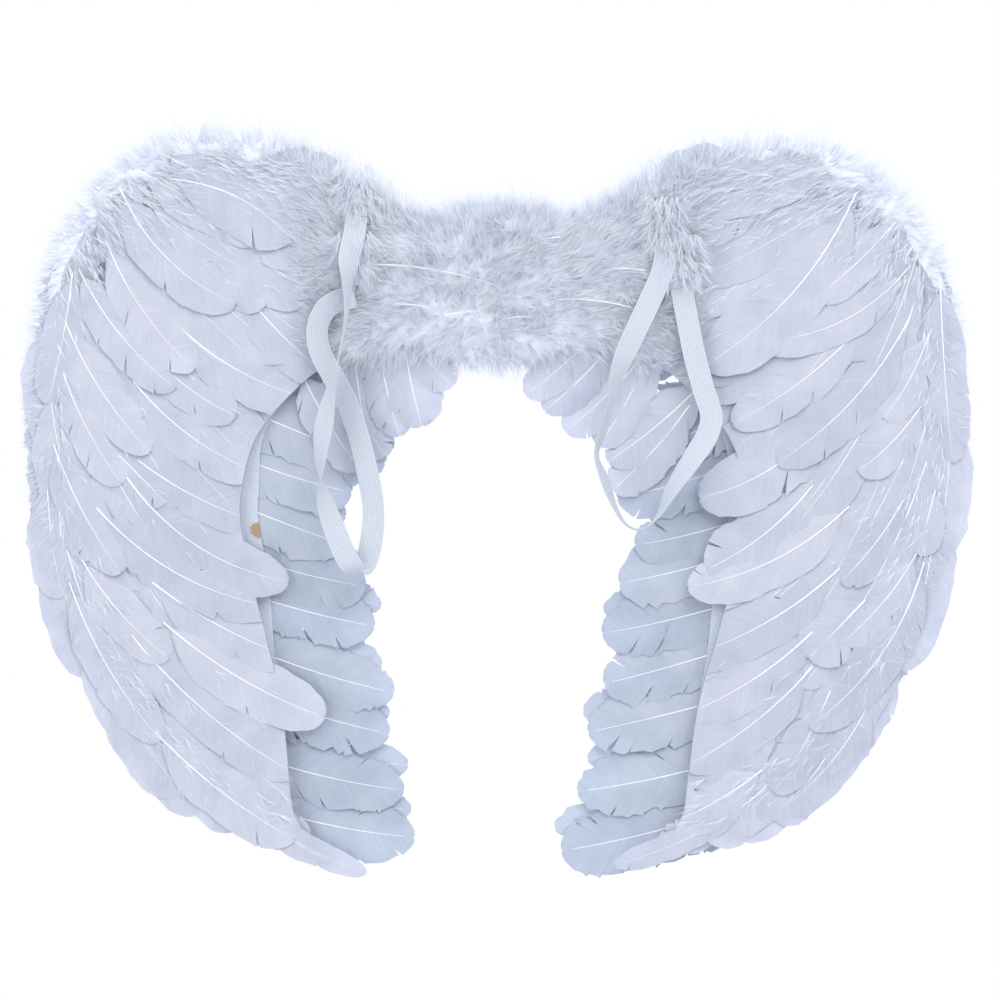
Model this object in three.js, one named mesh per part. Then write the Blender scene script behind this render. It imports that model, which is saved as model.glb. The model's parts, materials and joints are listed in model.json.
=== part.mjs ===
// Feather costume wings: two card wings that fold on a card yoke, covered in goose feathers, edged and padded
// with marabou, and worn on the back by two elastic loops.
// X runs across the back, Y away from the wearer and Z up. The origin is on the yoke pad's flat face, which rests
// on the back. Wing outlines are drawn once as [distance from the centre, height] and laid out for both sides.
import * as THREE from "three";

// Driving dimensions, in millimetres and degrees.
const wingReach = 298; // centre to the outermost feather edge
const shoulderRise = 100; // origin up to the top of a wing
const tipDrop = 366; // origin down to the lowest feather edge
const yokeRise = 52; // origin up to the top of the yoke's marabou
const yokeDrop = 47; // origin down to the bottom of the yoke's marabou
const creaseX = 38; // centre to each fold line
const foldGap = 1.4; // fold line to the card on each side of it
const cardThickness = 1;
const glueGap = 0.3; // clearance between neighbouring layers
const edgeGap = 0.5; // clearance between neighbouring outlines
const leastStep = 0.1; // nearest that two points of an outline lie
const padDepth = 12; // marabou between the wearer and the yoke's card
const padSetback = 1.6; // the pad's front edge to the card's edge at the fold
const shoulderSetback = 0.6; // front of the wing's marabou behind the front of the yoke's
const shoulderWidth = 80; // fold line to the outer edge of the wing's marabou
const shoulderDrop = 62; // origin down to the bottom of the wing's marabou
const rearPadDepth = 9.4; // marabou behind the yoke's rear card
const rearPadSetback = 12.5; // the fold line to the rear pad, so that a folded wing clears it
const fringeWidth = 11; // marabou fringe beyond the card's outer edge
const fringeFront = 8; // fringe ahead of the card
const fringeBack = 6; // fringe behind the card
const fringeEnd = 81; // lowest feather edge up to where the fringe stops
const featherLayer = 2.4; // thickness of one layer of laid feathers
const middleLayerDrop = 190; // origin down to the bottom of the middle feathers
const upperLayerDrop = 75; // origin down to the bottom of the upper feathers
const layerInset = 3; // card edge to the laid feathers
const rearCardStrip = 11; // width of rear card left bare beyond the front card
const underarmDepth = 36; // length of the short feathers below the card
const underarmThickness = 5;
const flightCount = 9; // long feathers on each wing
const flightLength = 146;
const flightWidth = 36;
const flightThickness = 0.8;
const flightTopAngle = 22; // slope of the highest long feather
const flightBottomAngle = 15; // slope of the lowest long feather
const tapeWidth = 18;
const tapeThickness = 0.4;
const elasticWidth = 14;
const elasticThickness = 1.2;
const elasticStep = 4; // spacing of the sections along the elastic
const tabHeight = 16; // end tab of the elastic
const tabGap = 2.5; // end tab to the free elastic, so that it can swing
const stapleLength = 11;
const stapleWire = 0.7;
const leftTilt = 1; // each wing's turn in its own plane: up is positive
const rightTilt = -1;
const tiltRun = 60; // distance over which a wing takes up its tilt

// Depths of the stack, from the wearer back.
const cardFront = padDepth;
const rearCardFront = cardFront + cardThickness + glueGap;
const rearCardBack = rearCardFront + cardThickness;
const tapeBack = cardFront - glueGap;
const layerBack = tapeBack - tapeThickness - glueGap;
const flightFront = rearCardBack + glueGap;
const coverFront = flightFront + 2 * (flightThickness + glueGap);

// A wing's outer line from the yoke to the tip: shares of the wing's width beyond the fold, and of its rise above
// or its drop below the origin.
const outerShares = [
  [0.115, 0.64],
  [0.242, 0.82],
  [0.381, 0.96],
  [0.53, 1],
  [0.677, 0.96],
  [0.8, 0.76],
  [0.9, 0.47],
  [0.965, 0.13],
  [0.993, -0.09],
  [1, -0.22],
  [0.981, -0.37],
  [0.935, -0.5],
  [0.862, -0.645],
  [0.754, -0.77],
  [0.642, -0.861],
  [0.488, -0.93],
  [0.31, -0.965],
];
// The front card's inner line, in the same shares, from below the yoke to the tip.
const innerShares = [
  [0.142, -0.118],
  [0.258, -0.13],
  [0.358, -0.189],
  [0.435, -0.262],
  [0.465, -0.35],
  [0.465, -0.41],
  [0.435, -0.505],
  [0.4, -0.601],
  [0.358, -0.719],
  [0.33, -0.895],
];
// The line that the long feathers' tips follow, from the highest to the lowest.
const flightTipShares = [
  [0.127, -0.29],
  [0.185, -0.41],
  [0.16, -0.53],
  [0.112, -0.66],
  [0.1, -0.8],
  [0.055, -0.95],
];
// Half the width of a feather along its length: shares of the length and of the half width.
const vaneShares = [
  [0, 0.1],
  [0.22, 0.14],
  [0.34, 0.62],
  [0.55, 0.94],
  [0.76, 1],
];

const feather = (color) => new THREE.MeshStandardMaterial({ color, roughness: 0.75, metalness: 0 });
const finishes = {
  card: new THREE.MeshStandardMaterial({ color: 0xd9dde4, roughness: 0.9, metalness: 0 }),
  tape: new THREE.MeshStandardMaterial({ color: 0xe6e6e2, roughness: 0.6, metalness: 0 }),
  marabou: new THREE.MeshStandardMaterial({ color: 0xe4e9f1, roughness: 0.95, metalness: 0 }),
  covert: feather(0xdfe3eb),
  flight: feather(0xc9d4e2),
  elastic: new THREE.MeshStandardMaterial({ color: 0xd6dfe9, roughness: 0.8, metalness: 0 }),
  staple: new THREE.MeshStandardMaterial({ color: 0xb8bcc2, roughness: 0.35, metalness: 1 }),
};

const model = new THREE.Group();
model.name = "fairy_wings";

function add(name, geometry, finish) {
  const mesh = new THREE.Mesh(geometry, finishes[finish].clone());
  mesh.name = name;
  model.add(mesh);
}

// Points in order along a smooth line through the given ones.
function smoothLine(points, steps) {
  const spline = new THREE.SplineCurve(points.map(([x, y]) => new THREE.Vector2(x, y)));
  return spline.getPoints(steps).map((p) => [p.x, p.y]);
}

const fromShares = ([across, up]) => [
  creaseX + across * (wingReach - creaseX),
  up * (up > 0 ? shoulderRise : tipDrop),
];

// A line moved sideways by a distance, to its left as it runs.
function offsetLine(line, distance) {
  return line.map((point, i) => {
    const before = line[Math.max(i - 1, 0)];
    const after = line[Math.min(i + 1, line.length - 1)];
    const run = [after[0] - before[0], after[1] - before[1]];
    const length = Math.hypot(...run);
    return [point[0] - (run[1] / length) * distance, point[1] + (run[0] / length) * distance];
  });
}

// What is left of a closed outline on one side of a straight cut: axis 0 cuts at a distance from the centre, and
// axis 1 at a height.
function trimmed(outline, axis, limit, keepAbove) {
  const kept = (p) => (keepAbove ? p[axis] >= limit : p[axis] <= limit);
  return outline.flatMap((p, i) => {
    const q = outline[(i + 1) % outline.length];
    const here = kept(p) ? [p] : [];
    if (kept(p) === kept(q)) return here;
    const share = (limit - p[axis]) / (q[axis] - p[axis]);
    return [...here, [p[0] + share * (q[0] - p[0]), p[1] + share * (q[1] - p[1])]];
  });
}

// A flat piece of the given outline, between two depths. A cut can leave a point on top of another, so those go.
function slab(outline, front, back) {
  const corners = outline.filter(([x, z], i) => {
    const [nextX, nextZ] = outline[(i + 1) % outline.length];
    return Math.hypot(nextX - x, nextZ - z) > leastStep;
  });
  const shape = new THREE.Shape(corners.map(([x, z]) => new THREE.Vector2(x, z)));
  const geometry = new THREE.ExtrudeGeometry(shape, { depth: back - front, bevelEnabled: false });
  return geometry.rotateX(Math.PI / 2).translate(0, back, 0);
}

// A wing outline laid out on its side of the body, with the wing's tilt taken up beyond the fold.
function laidOut(outline, side) {
  const tilt = THREE.MathUtils.degToRad(side < 0 ? leftTilt : rightTilt);
  return outline.map(([across, up]) => {
    const turn = tilt * THREE.MathUtils.smoothstep(across, creaseX, creaseX + tiltRun);
    const beyond = across - creaseX;
    const x = creaseX + beyond * Math.cos(turn) - up * Math.sin(turn);
    return [side * x, beyond * Math.sin(turn) + up * Math.cos(turn)];
  });
}

// Lines shared by the yoke and the wings. Both start past the centre, so that they cross it level.
const outerLine = smoothLine(
  [[-creaseX, yokeRise], [0, yokeRise], [creaseX, yokeRise], ...outerShares.map(fromShares)],
  76,
);
const yokeCardDrop = yokeDrop - fringeWidth;
const innerLine = smoothLine(
  [[-creaseX, -yokeCardDrop], [0, -yokeCardDrop], [creaseX, -yokeCardDrop], ...innerShares.map(fromShares)],
  48,
);
const fringeLine = offsetLine(outerLine, -fringeWidth);
const cardOutline = [...fringeLine, ...innerLine.toReversed()];
// The rear card shows its strip only between the underarm feathers and the tip, so the strip swells and dies out.
const rearInnerLine = offsetLine(innerLine, -1).map((point, i) => {
  const along = i / (innerLine.length - 1);
  const strip = rearCardStrip * THREE.MathUtils.smoothstep(along, 0.42, 0.6);
  const width = strip * (1 - THREE.MathUtils.smoothstep(along, 0.72, 0.92));
  const [x, z] = innerLine[i];
  return [x + (point[0] - x) * width, z + (point[1] - z) * width];
});
const rearCardOutline = [...fringeLine, ...rearInnerLine.toReversed()];
const wingEdge = creaseX + foldGap;
const wingCard = trimmed(cardOutline, 0, wingEdge, true);
const wingRearCard = trimmed(rearCardOutline, 0, wingEdge, true);
const featherArea = [...offsetLine(fringeLine, -layerInset), ...offsetLine(innerLine, layerInset).toReversed()];

// An outline on both sides of the centre, up to a distance from it.
function bothSides(outline, reach) {
  const half = trimmed(trimmed(outline, 0, 0, true), 0, reach, false);
  const upper = half.filter(([, z]) => z > 0).sort((a, b) => a[0] - b[0]);
  const lower = half.filter(([, z]) => z <= 0).sort((a, b) => b[0] - a[0]);
  const right = [...upper, ...lower];
  const left = right.filter(([x]) => x > 0).map(([x, z]) => [-x, z]);
  return [...right, ...left.reverse()];
}

function buildYoke() {
  const cardReach = creaseX - foldGap;
  const card = bothSides(cardOutline, cardReach);
  const marabou = [...outerLine, ...offsetLine(innerLine, -fringeWidth).toReversed()];
  add("yoke_front_card", slab(card, cardFront, cardFront + cardThickness), "card");
  add("yoke_rear_card", slab(card, rearCardFront, rearCardBack), "card");
  add("yoke_front_pad", slab(bothSides(marabou, cardReach - padSetback), 0, layerBack), "marabou");
  const rearPad = bothSides(marabou, creaseX - rearPadSetback);
  add("yoke_rear_pad", slab(rearPad, flightFront, flightFront + rearPadDepth), "marabou");
}

// One half of a fold's tape, on the front of the card from its edge inwards.
function tapeHalf(near, far) {
  const top = yokeRise - fringeWidth - layerInset;
  const bottom = layerInset - yokeCardDrop;
  return [
    [near, bottom],
    [far, bottom],
    [far, top],
    [near, top],
  ];
}

function buildTape(sideName, side) {
  const yokeHalf = tapeHalf(side * (creaseX - foldGap), side * (creaseX - foldGap - tapeWidth / 2));
  const wingHalf = tapeHalf(side * wingEdge, side * (wingEdge + tapeWidth / 2));
  add(`${sideName}_fold_tape_yoke_half`, slab(yokeHalf, tapeBack - tapeThickness, tapeBack), "tape");
  add(`${sideName}_fold_tape_wing_half`, slab(wingHalf, tapeBack - tapeThickness, tapeBack), "tape");
}

function buildCards(sideName, side) {
  const front = slab(laidOut(wingCard, side), cardFront, cardFront + cardThickness);
  add(`${sideName}_front_card`, front, "card");
  add(`${sideName}_rear_card`, slab(laidOut(wingRearCard, side), rearCardFront, rearCardBack), "card");
}

// Marabou on the wearer's side, from the fold out past the strap.
function buildShoulderPad(sideName, side) {
  const lines = [...fringeLine, ...innerLine.toReversed()];
  const high = trimmed(trimmed(lines, 1, -shoulderDrop, true), 0, wingEdge, true);
  const outline = trimmed(high, 0, creaseX + shoulderWidth, false);
  add(`${sideName}_shoulder_pad`, slab(laidOut(outline, side), shoulderSetback, layerBack), "marabou");
}

// Laid feathers on the wearer's side: three layers, each ending higher than the one that it lies on.
function buildFrontFeathers(sideName, side) {
  const area = trimmed(featherArea, 0, creaseX + shoulderWidth + edgeGap, true);
  const layers = {
    lower: area,
    middle: trimmed(area, 1, -middleLayerDrop, true),
    upper: trimmed(area, 1, -upperLayerDrop, true),
  };
  Object.entries(layers).forEach(([name, outline], i) => {
    const back = layerBack - i * (featherLayer + glueGap);
    const geometry = slab(laidOut(outline, side), back - featherLayer, back);
    add(`${sideName}_front_feathers_${name}`, geometry, "covert");
  });
}

function buildRearFeathers(sideName, side) {
  const area = trimmed(featherArea, 0, wingEdge, true);
  const layers = { lower: area, upper: trimmed(area, 1, -upperLayerDrop, true) };
  Object.entries(layers).forEach(([name, outline], i) => {
    const front = coverFront + i * (featherLayer + glueGap);
    const geometry = slab(laidOut(outline, side), front, front + featherLayer);
    add(`${sideName}_rear_feathers_${name}`, geometry, "covert");
  });
}

// The marabou fringe stands beyond the card's outer edge, from the fold round to the lower tip.
function buildFringe(sideName, side) {
  const band = [...outerLine, ...offsetLine(fringeLine, edgeGap).toReversed()];
  const outline = trimmed(trimmed(band, 0, wingEdge, true), 1, fringeEnd - tipDrop, true);
  const geometry = slab(laidOut(outline, side), cardFront - fringeFront, rearCardBack + fringeBack);
  add(`${sideName}_edge_fringe`, geometry, "marabou");
}

// Short feathers that hang below the card between the fold and the first long feather.
function buildUnderarm(sideName, side) {
  const stop = Math.round(innerLine.length * 0.52);
  const top = offsetLine(innerLine, -edgeGap).slice(0, stop);
  const bottom = offsetLine(innerLine, -underarmDepth).slice(0, stop);
  const outline = trimmed([...top, ...bottom.toReversed()], 0, wingEdge, true);
  const geometry = slab(laidOut(outline, side), rearCardFront - glueGap - underarmThickness, rearCardFront - glueGap);
  add(`${sideName}_underarm_feathers`, geometry, "flight");
}

// A feather's outline along +X from its quill, with a half-round tip.
function featherOutline(length, width) {
  const upper = vaneShares.map(([along, half]) => [along * length, (half * width) / 2]);
  const [tipStart, tipHalf] = upper[upper.length - 1];
  const arc = [1, 2, 3, 4, 5].map((i) => {
    const turn = (i * Math.PI) / 6;
    return [tipStart + (length - tipStart) * Math.sin(turn), tipHalf * Math.cos(turn)];
  });
  const lower = upper.map(([x, y]) => [x, -y]).reverse();
  return [...upper, ...arc, ...lower].reverse();
}

// The long feathers are glued behind the rear card and overlap like slats, on two depths in turn.
function buildFlightFeathers(sideName, side) {
  const tips = new THREE.SplineCurve(flightTipShares.map((p) => new THREE.Vector2(...fromShares(p))));
  for (let i = 0; i < flightCount; i += 1) {
    const share = i / (flightCount - 1);
    const tip = tips.getPoint(share);
    const slope = THREE.MathUtils.degToRad(THREE.MathUtils.lerp(flightTopAngle, flightBottomAngle, share));
    const quill = new THREE.Vector2(Math.cos(slope), Math.sin(slope)).multiplyScalar(flightLength).add(tip);
    const outline = featherOutline(flightLength, flightWidth).map(([along, half]) => [
      quill.x - along * Math.cos(slope) + half * Math.sin(slope),
      quill.y - along * Math.sin(slope) - half * Math.cos(slope),
    ]);
    const front = flightFront + (i % 2) * (flightThickness + glueGap);
    const geometry = slab(laidOut(outline, side), front, front + flightThickness);
    add(`${sideName}_flight_feather_${i + 1}`, geometry, "flight");
  }
}

// Elastic as it hangs: [x, y, z, turn, lean] from the upper tab down, round the loop and up to the lower tab. Turn
// is the angle of its width from flat on the back (0) to on edge (90), and lean its slope across the back.
const leftElastic = [
  [-88, -0.9, 46, 0, 0],
  [-89.5, -2.8, 34, 4, 0],
  [-92.5, -6, 20, 20, 0],
  [-93.5, -9.5, 5, 62, 0],
  [-93.6, -12.5, -11, 80, 0],
  [-95, -14.5, -25, 88, 0],
  [-99, -15.5, -45, 94, 0],
  [-103.5, -15.5, -64, 120, 0],
  [-107.5, -14.5, -84, 146, 0],
  [-110, -13, -103, 128, 0],
  [-110, -12, -118, 96, 0],
  [-108, -11, -131, 50, 0],
  [-102, -10.5, -149, 16, 0],
  [-95.5, -10, -165, 4, 0],
  [-91, -9, -172.5, 0, 0],
  [-86.5, -6, -175.5, 0, 0],
  [-82.5, -3.4, -171.5, 0, 0],
  [-78.5, -2.8, -156, -8, 0],
  [-77.6, -2.8, -136, -18, 0],
  [-81.5, -2.8, -113, -12, 0],
  [-87, -2.8, -91, -16, 0],
  [-94.5, -2.8, -70, -12, 0],
  [-103, -3, -54, -6, 0],
  [-111, -3.6, -38, 8, 0],
  [-112.5, -3.8, -24, 16, 0],
  [-107, -3.4, -12, 12, -30],
  [-98, -2.2, -6.5, 4, -62],
  [-89, -0.9, -4.5, 0, -78],
];
const rightElastic = [
  [106, -0.9, 24.6, 0, 0],
  [104, -3.2, 12, 4, 0],
  [96, -6.5, -7, 8, 0],
  [87, -9.5, -26, 14, 0],
  [80, -12, -41, 26, 0],
  [73.7, -14, -57, 55, 0],
  [71, -15, -72, 72, 0],
  [66, -16, -89, 68, 0],
  [62.2, -16.5, -104, 80, 0],
  [67.5, -16.5, -119.7, 66, 0],
  [73.5, -16, -136, 78, 0],
  [81, -15.5, -147.6, 86, 0],
  [90, -15, -150.6, 90, 0],
  [99.5, -14, -143.6, 94, 0],
  [110, -11.5, -125, 130, 0],
  [122.5, -8.5, -106, 160, 0],
  [131.5, -6, -92, 174, 0],
  [134.5, -4, -80, 180, 0],
  [129.5, -3, -62, 180, 0],
  [124, -2.8, -41, 180, 0],
  [119, -2.2, -16, 180, 0],
  [116, -0.9, 1, 180, 0],
];

// A flat ribbon along a route, swept by hand because its width turns about its length as it goes.
function ribbon(route, width, thickness) {
  const path = new THREE.CatmullRomCurve3(route.map(([x, y, z]) => new THREE.Vector3(x, y, z)), false, "centripetal");
  const turns = new THREE.SplineCurve(route.map(([, , , turn, lean]) => new THREE.Vector2(turn, lean)));
  const steps = Math.round(path.getLength() / elasticStep);
  const positions = [];
  const faces = [];
  for (let i = 0; i <= steps; i += 1) {
    const share = path.getUtoTmapping(i / steps);
    const centre = path.getPoint(share);
    const along = path.getTangent(share);
    const [turn, lean] = turns.getPoint(share).toArray().map(THREE.MathUtils.degToRad);
    const flat = new THREE.Vector3(Math.cos(lean), 0, Math.sin(lean)).multiplyScalar(Math.cos(turn));
    const across = flat.setY(Math.sin(turn));
    across.addScaledVector(along, -across.dot(along)).setLength(width / 2);
    const out = new THREE.Vector3().crossVectors(across, along).setLength(thickness / 2);
    for (const [a, b] of [[1, 1], [-1, 1], [-1, -1], [1, -1]]) {
      positions.push(...centre.clone().addScaledVector(across, a).addScaledVector(out, b).toArray());
    }
  }
  for (let i = 0; i < steps; i += 1) {
    for (let side = 0; side < 4; side += 1) {
      const next = (side + 1) % 4;
      const [a, b, c, d] = [4 * i + side, 4 * i + next, 4 * i + 4 + next, 4 * i + 4 + side];
      faces.push(a, d, b, b, d, c);
    }
  }
  const last = 4 * steps;
  faces.push(0, 1, 2, 0, 2, 3, last, last + 2, last + 1, last, last + 3, last + 2);
  const geometry = new THREE.BufferGeometry();
  geometry.setAttribute("position", new THREE.Float32BufferAttribute(positions, 3));
  geometry.setIndex(faces);
  geometry.computeVertexNormals();
  return geometry;
}

// The end of the elastic, glued flat on the marabou and stapled. The free elastic starts a small gap below it.
function buildTab(name, x, bottom) {
  const half = elasticWidth / 2;
  const front = shoulderSetback - glueGap - elasticThickness;
  const outline = [
    [x - half, bottom],
    [x + half, bottom],
    [x + half, bottom + tabHeight],
    [x - half, bottom + tabHeight],
  ];
  add(`${name}_tab`, slab(outline, front, front + elasticThickness), "elastic");
  const staple = new THREE.BoxGeometry(stapleLength, stapleWire, stapleWire);
  staple.translate(x, front - glueGap - stapleWire / 2, bottom + tabHeight / 2);
  add(`${name}_staple`, staple, "staple");
}

function buildStrap(sideName, route) {
  add(`${sideName}_strap`, ribbon(route, elasticWidth, elasticThickness), "elastic");
  const [upperX, , upperZ] = route[0];
  const [lowerX, , lowerZ, , lowerLean] = route.at(-1);
  const lowerEdge = (elasticWidth / 2) * Math.abs(Math.sin(THREE.MathUtils.degToRad(lowerLean)));
  buildTab(`${sideName}_strap_upper`, upperX, upperZ + tabGap);
  buildTab(`${sideName}_strap_lower`, lowerX, lowerZ + lowerEdge + tabGap);
}

buildYoke();
for (const [sideName, side, route] of [["left", -1, leftElastic], ["right", 1, rightElastic]]) {
  buildTape(sideName, side);
  buildCards(sideName, side);
  buildShoulderPad(sideName, side);
  buildFrontFeathers(sideName, side);
  buildRearFeathers(sideName, side);
  buildFringe(sideName, side);
  buildUnderarm(sideName, side);
  buildFlightFeathers(sideName, side);
  buildStrap(sideName, route);
}

export default model;
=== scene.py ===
import json
import math

import bmesh
import bpy
import numpy as np
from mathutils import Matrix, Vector

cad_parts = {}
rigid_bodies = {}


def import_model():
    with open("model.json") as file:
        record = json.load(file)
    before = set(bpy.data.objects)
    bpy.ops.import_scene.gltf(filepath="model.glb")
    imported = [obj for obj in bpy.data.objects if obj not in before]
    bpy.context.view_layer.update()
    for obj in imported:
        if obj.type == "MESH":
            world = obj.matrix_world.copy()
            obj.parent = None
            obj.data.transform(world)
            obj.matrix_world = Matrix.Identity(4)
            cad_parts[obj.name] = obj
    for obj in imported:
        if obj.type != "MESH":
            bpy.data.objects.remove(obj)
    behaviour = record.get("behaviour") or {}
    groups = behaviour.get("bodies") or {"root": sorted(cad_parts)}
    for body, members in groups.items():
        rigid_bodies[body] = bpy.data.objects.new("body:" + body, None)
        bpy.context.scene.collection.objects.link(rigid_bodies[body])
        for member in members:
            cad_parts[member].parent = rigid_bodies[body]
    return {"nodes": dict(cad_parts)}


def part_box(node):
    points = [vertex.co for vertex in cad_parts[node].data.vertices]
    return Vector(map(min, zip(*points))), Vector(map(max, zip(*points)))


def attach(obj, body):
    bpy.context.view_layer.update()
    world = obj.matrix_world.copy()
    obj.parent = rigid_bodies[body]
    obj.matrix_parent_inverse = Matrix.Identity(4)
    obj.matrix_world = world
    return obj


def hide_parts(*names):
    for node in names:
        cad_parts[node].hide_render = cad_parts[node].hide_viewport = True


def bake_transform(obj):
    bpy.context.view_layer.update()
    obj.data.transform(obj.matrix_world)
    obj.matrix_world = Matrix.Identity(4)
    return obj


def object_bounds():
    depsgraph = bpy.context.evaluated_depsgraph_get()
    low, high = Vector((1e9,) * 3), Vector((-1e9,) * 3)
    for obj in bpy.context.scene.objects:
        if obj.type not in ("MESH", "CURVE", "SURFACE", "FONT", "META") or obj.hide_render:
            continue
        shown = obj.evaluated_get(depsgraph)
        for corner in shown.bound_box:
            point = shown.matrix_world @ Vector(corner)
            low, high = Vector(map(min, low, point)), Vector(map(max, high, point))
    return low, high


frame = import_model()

# Costume wings of goose feathers on card, with marabou down and two loops of white ribbed elastic.
# Shapes are worked out in millimetres and become metres when their mesh is made. X runs across the back, Y away
# from the wearer and Z up. The side that lies on the wearer faces -Y.

MM = 0.001
SIDES = {"left": -1, "right": 1}
cad_low, cad_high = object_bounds()


# ---------------------------------------------------------------- camera, lights and floor

def added(name, data):
    """A new object in the scene."""
    thing = bpy.data.objects.new(name, data)
    bpy.context.scene.collection.objects.link(thing)
    return thing


def aim(thing, place, target):
    """Puts a camera or light at a place, facing a target."""
    thing.location = Vector(place)
    thing.rotation_euler = (Vector(target) - Vector(place)).to_track_quat("-Z", "Y").to_euler()


def add_node(tree, kind, joined=None, **settings):
    """Adds a node: joined gives each input a value, or the socket or node (by its first output) that feeds it."""
    node = tree.nodes.new(kind)
    for name, value in settings.items():
        setattr(node, name, value)
    for socket, value in (joined or {}).items():
        if isinstance(value, bpy.types.Node):
            value = value.outputs[0]
        if isinstance(value, bpy.types.NodeSocket):
            tree.links.new(value, node.inputs[socket])
        else:
            node.inputs[socket].default_value = value
    return node


middle = Vector((0.002, 0.006, cad_low.z * 0.5 + cad_high.z * 0.5 - 0.004))
camera_lens = bpy.data.cameras.new("camera")
camera_lens.lens, camera_lens.sensor_width = 120, 36
camera = added("camera", camera_lens)
aim(camera, middle + Vector((0, -2.1, 0)), middle)
bpy.context.scene.camera = camera
bpy.context.scene.view_settings.view_transform = "Standard"

# Soft round lights: place, width and power.
for name, place, width, power in (
        ("key_light", (0.75, -1.5, 1.55), 1.9, 26), ("fill_light", (-1.7, -1.6, 0.3), 1.6, 13),
        ("back_light", (0.4, 2.0, 1.2), 1.4, 22)):
    lamp = bpy.data.lights.new(name, "AREA")
    lamp.shape, lamp.size, lamp.energy = "DISK", width, power
    aim(added(name, lamp), place, (0, 0, -0.1))

world = bpy.data.worlds.new("studio")
bpy.context.scene.world = world
world.use_nodes = True
sky = world.node_tree
sky.nodes.clear()
seen_white = add_node(sky, "ShaderNodeBackground", {"Color": (1, 1, 1, 1), "Strength": 1.0})
soft_room = add_node(sky, "ShaderNodeBackground", {"Color": (0.94, 0.96, 1, 1), "Strength": 0.86})
ray = add_node(sky, "ShaderNodeLightPath")
mixed = add_node(sky, "ShaderNodeMixShader", {0: ray.outputs["Is Camera Ray"], 1: soft_room, 2: seen_white})
add_node(sky, "ShaderNodeOutputWorld", {"Surface": mixed})


# ---------------------------------------------------------------- finishes

def linear(text):
    """A colour from its sRGB hex value."""
    parts = [int(text[i:i + 2], 16) / 255 for i in (1, 3, 5)]
    return (*[p / 12.92 if p <= 0.04045 else ((p + 0.055) / 1.055) ** 2.4 for p in parts], 1)


def finish_named(name, base="#FFFFFF", **sockets):
    """A new finish: its material, node tree and shader, with the settings that are the same all over."""
    material = bpy.data.materials.new(name)
    material.use_nodes = True
    tree = material.node_tree
    shader = tree.nodes["Principled BSDF"]
    shader.inputs["Base Color"].default_value = linear(base)
    for socket, value in sockets.items():
        shader.inputs[socket.replace("_", " ")].default_value = value
    return material, tree, shader


def blotches(tree, scale, detail, low, high, most=1.0):
    """Cloudy patches all over a piece, and the share, from 0 to most, that they come to between low and high."""
    place = add_node(tree, "ShaderNodeTexCoord").outputs["Object"]
    cloud = add_node(tree, "ShaderNodeTexNoise", {"Vector": place, "Scale": scale, "Detail": detail})
    return cloud, add_node(tree, "ShaderNodeMapRange", {0: cloud, 1: low, 2: high, 3: 0.0, 4: most})


def dress(tree, shader, share, shade, light, height=None, strength=0.4, depth=0.2):
    """Colours a finish from shade to light by the share, and raises it by a height that is depth mm at most."""
    colour = add_node(tree, "ShaderNodeMix", {0: share, 6: linear(shade), 7: linear(light)}, data_type="RGBA")
    tree.links.new(colour.outputs[2], shader.inputs["Base Color"])
    if height:
        relief = add_node(tree, "ShaderNodeBump", {"Strength": strength, "Distance": depth * MM, "Height": height})
        tree.links.new(relief.outputs[0], shader.inputs["Normal"])
    return colour.outputs[2]


def places_on(tree):
    """How far along and across its piece each spot is, in millimetres, and the tone of the piece's part."""
    return [add_node(tree, "ShaderNodeAttribute", attribute_name=label).outputs["Fac"]
            for label in ("along", "across", "tone")]


def vane_finish(name, shade, light, roughness):
    """Goose feather vane, bleached and dried flat. Its hooked barbs give fine slanting streaks, and a soft sheen."""
    material, tree, shader = finish_named(name, Roughness=roughness, Sheen_Weight=0.25, Sheen_Roughness=0.5,
                                          Specular_IOR_Level=0.35)
    along, across, tone = places_on(tree)
    # Real barbs stand 0.3 mm apart. They are drawn about 0.8 mm apart, so that they show, in streaks 22 mm long.
    row, reach, which = (add_node(tree, "ShaderNodeMath", {0: value, 1: factor}, operation="MULTIPLY")
                         for value, factor in ((along, 1 / 0.8), (across, 1 / 22), (tone, 40.0)))
    place = add_node(tree, "ShaderNodeCombineXYZ", {0: row, 1: reach, 2: which})
    streak = add_node(tree, "ShaderNodeTexNoise", {"Vector": place, "Scale": 1.0, "Detail": 3.0, "Roughness": 0.6})
    streak_part = add_node(tree, "ShaderNodeMapRange", {0: streak, 1: 0.3, 2: 0.7, 3: 0.0, 4: 0.4})
    _, cloud_part = blotches(tree, 55.0, 3.0, 0.3, 0.7, most=0.35)
    tone_part = add_node(tree, "ShaderNodeMath", {0: tone, 1: 0.35}, operation="MULTIPLY")
    both = add_node(tree, "ShaderNodeMath", {0: streak_part, 1: cloud_part}, operation="ADD")
    whole = add_node(tree, "ShaderNodeMath", {0: both, 1: tone_part}, operation="ADD", use_clamp=True)
    colour = dress(tree, shader, whole, shade, light, streak, depth=0.4)
    # A thin vane passes a third of the light to its far side.
    through = add_node(tree, "ShaderNodeBsdfTranslucent", {"Color": colour})
    thin = add_node(tree, "ShaderNodeMixShader", {0: 0.34, 1: shader, 2: through})
    tree.links.new(thin.outputs[0], tree.nodes["Material Output"].inputs["Surface"])
    return material


def down_finish():
    """Marabou down. Its loose barbules scatter the light, so it looks matt, and whiter than the vanes."""
    material, tree, shader = finish_named("marabou_down", Roughness=0.95, Sheen_Weight=0.3, Sheen_Roughness=0.6,
                                          Specular_IOR_Level=0.2)
    # Clumps of down, 6 to 15 mm across, differ a little in whiteness.
    clump, share = blotches(tree, 90.0, 4.0, 0.3, 0.7)
    dress(tree, shader, share, "#E2E8F4", "#F4F7FD", clump, depth=0.6)
    return material


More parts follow.
